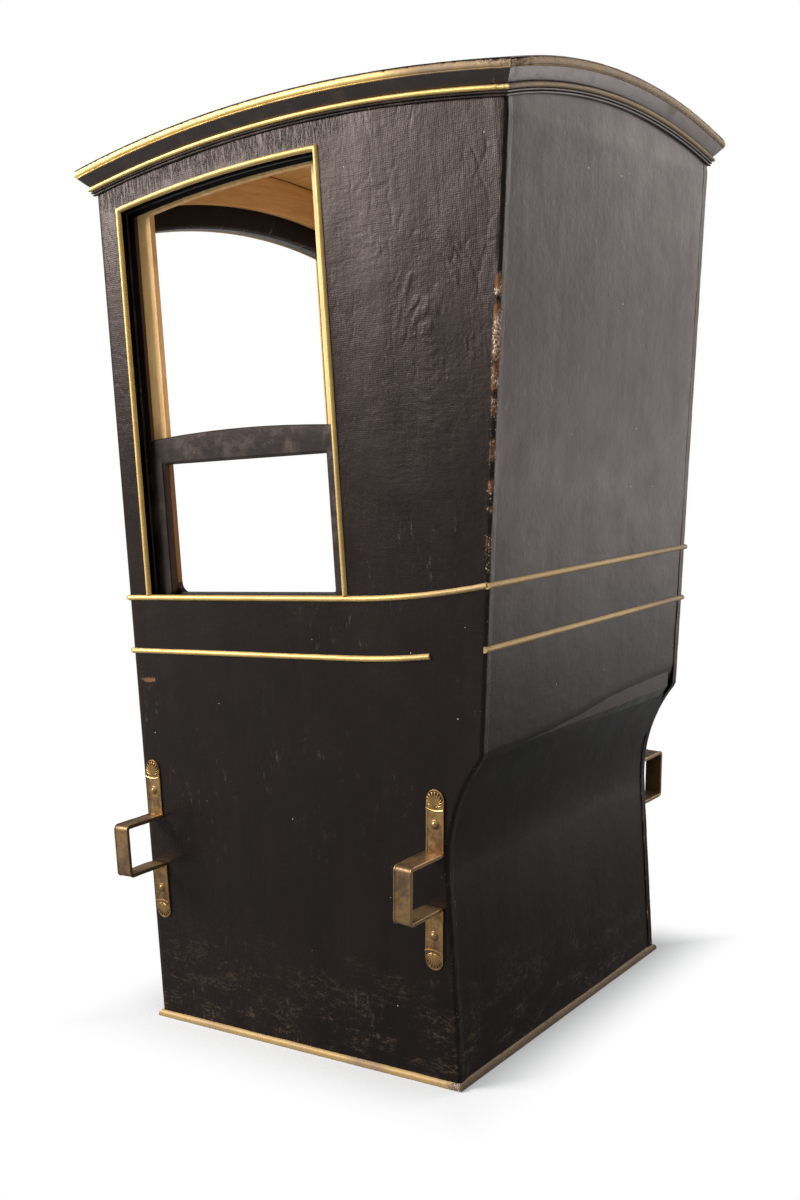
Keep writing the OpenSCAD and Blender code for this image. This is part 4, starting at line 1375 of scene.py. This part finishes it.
def fixingTree():
    # domed heads on points, each facing along the "facing" attribute
    tree = bpy.data.node_groups.new("domedFixings", "GeometryNodeTree")
    tree.interface.new_socket("Points", in_out="INPUT", socket_type="NodeSocketGeometry")
    for label, value in (("Radius", 0.005), ("Height", 0.6)):
        tree.interface.new_socket(label, in_out="INPUT", socket_type=floatKind).default_value = value
    tree.interface.new_socket("Finish", in_out="INPUT", socket_type="NodeSocketMaterial")
    tree.interface.new_socket("Geometry", in_out="OUTPUT", socket_type="NodeSocketGeometry")
    given, result = tree.nodes.new("NodeGroupInput").outputs, tree.nodes.new("NodeGroupOutput").inputs
    ball = addNode(tree, "GeometryNodeMeshUVSphere", {"Segments": 16, "Rings": 10, "Radius": given["Radius"]})
    flat = addNode(tree, "ShaderNodeCombineXYZ", {"X": 1.0, "Y": 1.0, "Z": given["Height"]})
    head = addNode(tree, "GeometryNodeTransform", {"Geometry": ball.outputs["Mesh"], "Scale": flat.outputs[0]})
    facing = addNode(tree, "GeometryNodeInputNamedAttribute", {"Name": "facing"}, data_type="FLOAT_VECTOR")
    turn = addNode(tree, "FunctionNodeAlignRotationToVector", {"Vector": facing.outputs["Attribute"]}, axis="Z")
    heads = addNode(tree, "GeometryNodeInstanceOnPoints",
                    {"Points": given["Points"], "Instance": head.outputs["Geometry"], "Rotation": turn.outputs[0]})
    return finishTree(tree, heads.outputs[0], given, result)


def grown(tree, mesh, values):
    # the mesh that a node tree makes, as plain geometry
    obj = bpy.data.objects.new("growing", mesh)
    scene.collection.objects.link(obj)
    modifier = obj.modifiers.new("grow", "NODES")
    modifier.node_group = tree
    for item in tree.interface.items_tree:
        if item.in_out == "INPUT" and item.name in values:
            modifier[item.identifier] = values[item.name]
    bpy.context.view_layer.update()
    seen = obj.evaluated_get(bpy.context.evaluated_depsgraph_get())
    result = bpy.data.meshes.new_from_object(seen)
    obj.modifiers.clear()
    bpy.data.objects.remove(obj)
    return result


def domes(spots, radius, height, finish):
    # spots: (place, facing)
    mesh = bpy.data.meshes.new("fixingSpots")
    mesh.from_pydata([tuple(p) for p, _ in spots], [], [])
    layer = mesh.attributes.new("facing", "FLOAT_VECTOR", "POINT")
    for item, (_, way) in zip(layer.data, spots):
        item.vector = tuple(way)
    return grown(domeTree, mesh, {"Radius": radius, "Height": height, "Finish": materials[finish]})


shellTree, domeTree = ribTree(), fixingTree()
shellMesh = grown(shellTree, bpy.data.meshes.new("shellSeed"),
                  {"Ribs": bracket["ribs"], "Length": bracket["shell"], "Thickness": 0.0023, "Spread": 2.35,
                   "Finish": materials["brass"]})


def strapPath():
    # (out, up, tangent) of the strap's wall face, from the top shell's edge to the bottom one's
    half0 = bracket["length"] / 2 - bracket["width"] / 2
    loopHalf, reach, b = bracket["loop"] / 2, bracket["reach"], bracket["bend"]
    turns = ((0, half0), (0, loopHalf), (reach, loopHalf), (reach, -loopHalf), (0, -loopHalf), (0, -half0))
    corners = [Vector((out, 0, up)) for out, up in turns]
    path = []
    for i, here in enumerate(corners):
        if i in (0, len(corners) - 1):
            path.append(here)
            continue
        a, c = (corners[i - 1] - here).normalized(), (corners[i + 1] - here).normalized()
        for k in range(7):
            s = k / 6
            path.append((here + a * b) * (1 - s) ** 2 + here * 2 * s * (1 - s) + (here + c * b) * s * s)
    dense = [path[0]]
    for p in path[1:]:
        gap = (p - dense[-1]).length
        steps = max(1, int(gap / 0.006))
        start = dense[-1]
        dense += [start.lerp(p, k / steps) for k in range(1, steps + 1)]
    return dense


def makeBracket(name, node, side, y, lean):
    shape = Shape()
    w, t = bracket["width"], bracket["thickness"]
    path = strapPath()
    # across the strap: a raised rim at each edge and a flat between
    rim = [(w / 2 - 0.0040, t - 0.0007), (w / 2 - 0.0030, t + 0.0002), (w / 2 - 0.0010, t + 0.0002),
           (w / 2, t - 0.0010), (w / 2, 0.0008), (w / 2 - 0.0006, 0)]
    profile = [(-a, h) for a, h in rim[::-1]] + [(0, t - 0.0005)] + rim
    sections = []
    for i, p in enumerate(path):
        ahead = (path[min(i + 1, len(path) - 1)] - path[max(i - 1, 0)]).normalized()
        outward = Vector((-ahead.z, 0, ahead.x))
        if outward.dot(Vector((1, 0, 0))) < 0 and abs(outward.x) > 0.5:
            outward = -outward
        thicker = (bracket["plate"] - t) * smooth(0.0, 0.02, p.x)
        sections.append([p + Vector((0, 1, 0)) * a + outward * (h - (thicker if h < 0.002 else 0))
                         for a, h in profile])
    shape.loft(sections, wear=lambda p: 0.55 * smooth(w / 2 - 0.0035, w / 2 - 0.0012, abs(p.y)),
               hollow=lambda p: 0.52 * smooth(0.005, 0.02, p.x))
    # rounded ends: a dished plate, a rim, a raised step and the scallop's ribs
    for way in (1, -1):
        centre = Vector((0, 0, way * (bracket["length"] / 2 - w / 2)))
        rings = []
        for radius, h in ((w / 2 - 0.0004, 0.0), (w / 2, 0.0010), (w / 2, 0.0034), (w / 2 - 0.0010, 0.0044),
                          (w / 2 - 0.0022, 0.0042), (w / 2 - 0.0030, 0.0030), (w / 4, 0.0032), (0.0015, 0.0036)):
            turns = [2 * math.pi * k / 48 for k in range(48)]
            rings.append([centre + Vector((h, radius * math.sin(a), radius * math.cos(a))) for a in turns])
        shape.loft(rings, hollow=lambda p, c=centre: (
            0.65 * smooth(0.0135, 0.011, math.hypot(p.y, p.z - c.z)) * smooth(0.0050, 0.0036, p.x)))
        up = Vector((0, 0, way))
        place = Matrix((Vector((0, way, 0)), up, Vector((1, 0, 0)))).transposed().to_4x4()
        base = Matrix.Translation(centre - up * bracket["shellFoot"] + Vector((0.0042, 0, 0))) @ place
        shape.addMesh(shellMesh, base, wear=0.7, hollow=lambda p: 0.9 * smooth(0.0052, 0.0043, p.x))
        step = []
        for a in np.linspace(-1, 1, 15):
            yy = a * (w / 2 - 0.0006)
            zz = centre.z - way * (bracket["shellFoot"] + 0.0005 + 0.0028 * (1 - a * a))
            step.append([(0.0040 + h, yy, zz - way * g) for g, h in bracket["step"]])
        shape.loft(step, wear=0.6)
    # rivets: a domed head, then its flat collar
    for sunk, radius, height, look in (
            (0.0005, 0.0062, 0.66, {"wear": 0.4}), (0.0008, 0.0088, 0.20, {"hollow": 0.5})):
        spots = [(Vector((t - sunk, 0, way * bracket["rivet"])), Vector((1, 0, 0))) for way in (1, -1)]
        shape.addMesh(domes(spots, radius, height, "brass"), Matrix.Identity(4), **look)
    shape.roughen(0.00035, 55, y * 9)
    turn = Matrix.Translation((half + 0.0012, y, bracket["height"])) @ Matrix.Rotation(math.radians(-lean), 4, "X")
    shape.points = [turn @ p for p in shape.points]
    shape.make(name, "brass", nodes=[node], angle=34, mirrored=side == "right")


frontAt, rearAt = front + 0.025, foot - 0.021
for side in ("left", "right"):
    makeBracket(side + "FrontPoleBracket", side + "_front_pole_bracket", side, frontAt, 0.0)
    makeBracket(side + "RearPoleBracket", side + "_rear_pole_bracket", side, rearAt, bracket["rearLean"])
print("brackets made")

# door knob and hinge screws
knob = {"x": low("door_knob", "x") + 0.016, "z": low("door_knob", "z") + 0.016,
        "profile": ((0.0155, 0.0), (0.0160, 0.0008), (0.0150, 0.0020), (0.0080, 0.0028), (0.0048, 0.0040),
                    (0.0040, 0.0070), (0.0042, 0.0100), (0.0060, 0.0122), (0.0085, 0.0140), (0.0098, 0.0165),
                    (0.0096, 0.0192), (0.0080, 0.0212), (0.0050, 0.0222), (0.0010, 0.0224))}


def makeKnob():
    shape = Shape()
    rings = []
    for radius, out in knob["profile"]:
        rings.append([(knob["x"] + radius * math.cos(2 * math.pi * k / 40), front - out,
                       knob["z"] + radius * math.sin(2 * math.pi * k / 40)) for k in range(40)])
    shape.loft(rings, wear=0.5)
    shape.make("doorKnob", "brass", "door", ["door_knob"])


def makeHingeScrews():
    for node, name, body, way in (("door_hinge_leaves", "doorHingeScrews", "door", -1),
                                  ("post_hinge_leaves", "postHingeScrews", "cabin", 1)):
        lowBox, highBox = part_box(node)
        x = lowBox.x + 0.011 if body == "door" else highBox.x - 0.011
        spots = []
        for middle in (lowBox.z + 0.042, highBox.z - 0.042):
            for up in (-0.030, 0.0, 0.030):
                aside = 0.004 * way if up == 0 else 0
                spots.append((Vector((x + aside, front - 0.0028, middle + up)), Vector((0, -1, 0))))
        shape = Shape()
        shape.addMesh(domes(spots, 0.0036, 0.45, "brass"), Matrix.Identity(4), wear=0.5)
        shape.make(name, "brass", body)


makeKnob()
makeHingeScrews()
print("knob and screws made")

# boards inside the back
backBoards = {"count": 5, "half": 0.3075, "belowSill": 0.32, "inside": 0.0225, "topAt": 1.58, "underRoof": 0.0215}


def makeBackBoards():
    shape = Shape()
    width = 2 * backBoards["half"] / backBoards["count"]
    bottom = chair["sill"] - backBoards["belowSill"]
    yTop = backY(backBoards["topAt"]) - backBoards["inside"]
    outline = [(0.0, 0), (0.0003, -0.0044), (0.0015, -0.0055), (width * 0.35, -0.0055), (width * 0.65, -0.0055),
               (width - 0.0023, -0.0055), (width - 0.0011, -0.0044), (width - 0.0008, 0)]
    for b in range(backBoards["count"]):
        x0 = -backBoards["half"] + b * width
        sections = []
        for share in np.linspace(0, 1, 60):
            row = []
            for dx, dy in outline:
                z = bottom + share * (roofZ(x0 + dx, yTop) - backBoards["underRoof"] - bottom)
                row.append((x0 + dx, backY(z) - backBoards["inside"] + dy, z))
            sections.append(row)
        shape.loft(sections)
    shape.make("backBoards", "woodUp")


makeBackBoards()

# floor, world and lamps
studio = {
    "floorSize": 12.0, "floorColour": (0.50, 0.55, 0.57), "floorUnseen": (0.30, 0.33, 0.34), "world": 0.32,
    "lampColour": (1.0, 0.90, 0.865),
    "lamps": (
        # name, place, aim, width, height, power
        ("sideSoftbox", (3.0, -3.0, 3.0), (0.3, 0.0, 1.2), 2.0, 1.9, 490.0),
        ("backSoftbox", (-3.5, 2.1, 2.6), (0.0, 0.3, 1.3), 2.6, 2.4, 88.0),
        ("lowBackSoftbox", (-3.5, 2.1, 0.75), (0.0, 0.3, 0.9), 2.6, 1.3, 30.0),
        ("backFloorCard", (-1.7, 2.0, 0.05), (-0.2, 0.5, 0.7), 1.6, 1.6, 16.0),
        ("overheadSoftbox", (1.6, 1.8, 3.9), (0.2, 0.2, 0.9), 2.6, 2.6, 60.0),
    ),
}


def makeFloor():
    size = studio["floorSize"]
    mesh = bpy.data.meshes.new("studioFloor")
    mesh.from_pydata([(-size, -size, 0), (size, -size, 0), (size, size, 0), (-size, size, 0)], [], [(0, 1, 2, 3)])
    obj = bpy.data.objects.new("studioFloor", mesh)
    material = bpy.data.materials.new("paleFloor")
    material.use_nodes = True
    tree = material.node_tree
    shader = tree.nodes["Principled BSDF"]
    shader.inputs["Roughness"].default_value = 0.8
    shader.inputs["Specular IOR Level"].default_value = 0.1
    glow = addNode(tree, "ShaderNodeEmission", {"Color": (1, 1, 1, 1), "Strength": 1.0})
    place = tree.nodes.new("ShaderNodeTexCoord").outputs["Object"]
    away = addNode(tree, "ShaderNodeVectorMath", {0: place}, operation="LENGTH").outputs["Value"]
    rays = tree.nodes.new("ShaderNodeLightPath").outputs
    tint = mixColour(tree, rays["Is Camera Ray"], studio["floorUnseen"], studio["floorColour"])
    tree.links.new(tint, shader.inputs["Base Color"])
    xyz = addNode(tree, "ShaderNodeSeparateXYZ", {"Vector": place}).outputs
    beside = minus(tree, math2(tree, "ABSOLUTE", xyz["X"]), half)
    behind = minus(tree, math2(tree, "ABSOLUTE", plus(tree, xyz["Y"], 0.12)), 0.34)
    apart = most(tree, beside, behind)
    clear = times(tree, fade(tree, apart, -0.02, 0.17), rays["Is Camera Ray"])
    mirrored = times(tree, fade(tree, away, 1.6, 2.8),
                     most(tree, rays["Is Glossy Ray"], rays["Is Transmission Ray"]))
    factor = most(tree, clear, mirrored)
    mix = addNode(tree, "ShaderNodeMixShader", {0: factor, 1: shader.outputs[0], 2: glow.outputs[0]})
    tree.links.new(mix.outputs[0], tree.nodes["Material Output"].inputs["Surface"])
    mesh.materials.append(material)
    scene.collection.objects.link(obj)


def makeWorld():
    world = bpy.data.worlds.new("studio")
    world.use_nodes = True
    tree = world.node_tree
    shade = tree.nodes["Background"]
    rays = tree.nodes.new("ShaderNodeLightPath").outputs
    strength = addNode(tree, "ShaderNodeMapRange", {"Value": rays["Is Camera Ray"], "To Min": studio["world"],
                                                    "To Max": 1.0}).outputs["Result"]
    shade.inputs["Color"].default_value = (1, 1, 1, 1)
    tree.links.new(strength, shade.inputs["Strength"])
    scene.world = world


def makeLamps():
    for name, place, aim, width, height, power in studio["lamps"]:
        data = bpy.data.lights.new(name, "AREA")
        data.shape, data.size, data.size_y, data.energy = "RECTANGLE", width, height, power
        data.color = studio["lampColour"]
        obj = bpy.data.objects.new(name, data)
        obj.location = place
        obj.rotation_euler = (Vector(aim) - Vector(place)).to_track_quat("-Z", "Y").to_euler()
        scene.collection.objects.link(obj)


makeFloor()
makeWorld()
makeLamps()
scene.view_settings.view_transform = "Standard"
print("studio made")
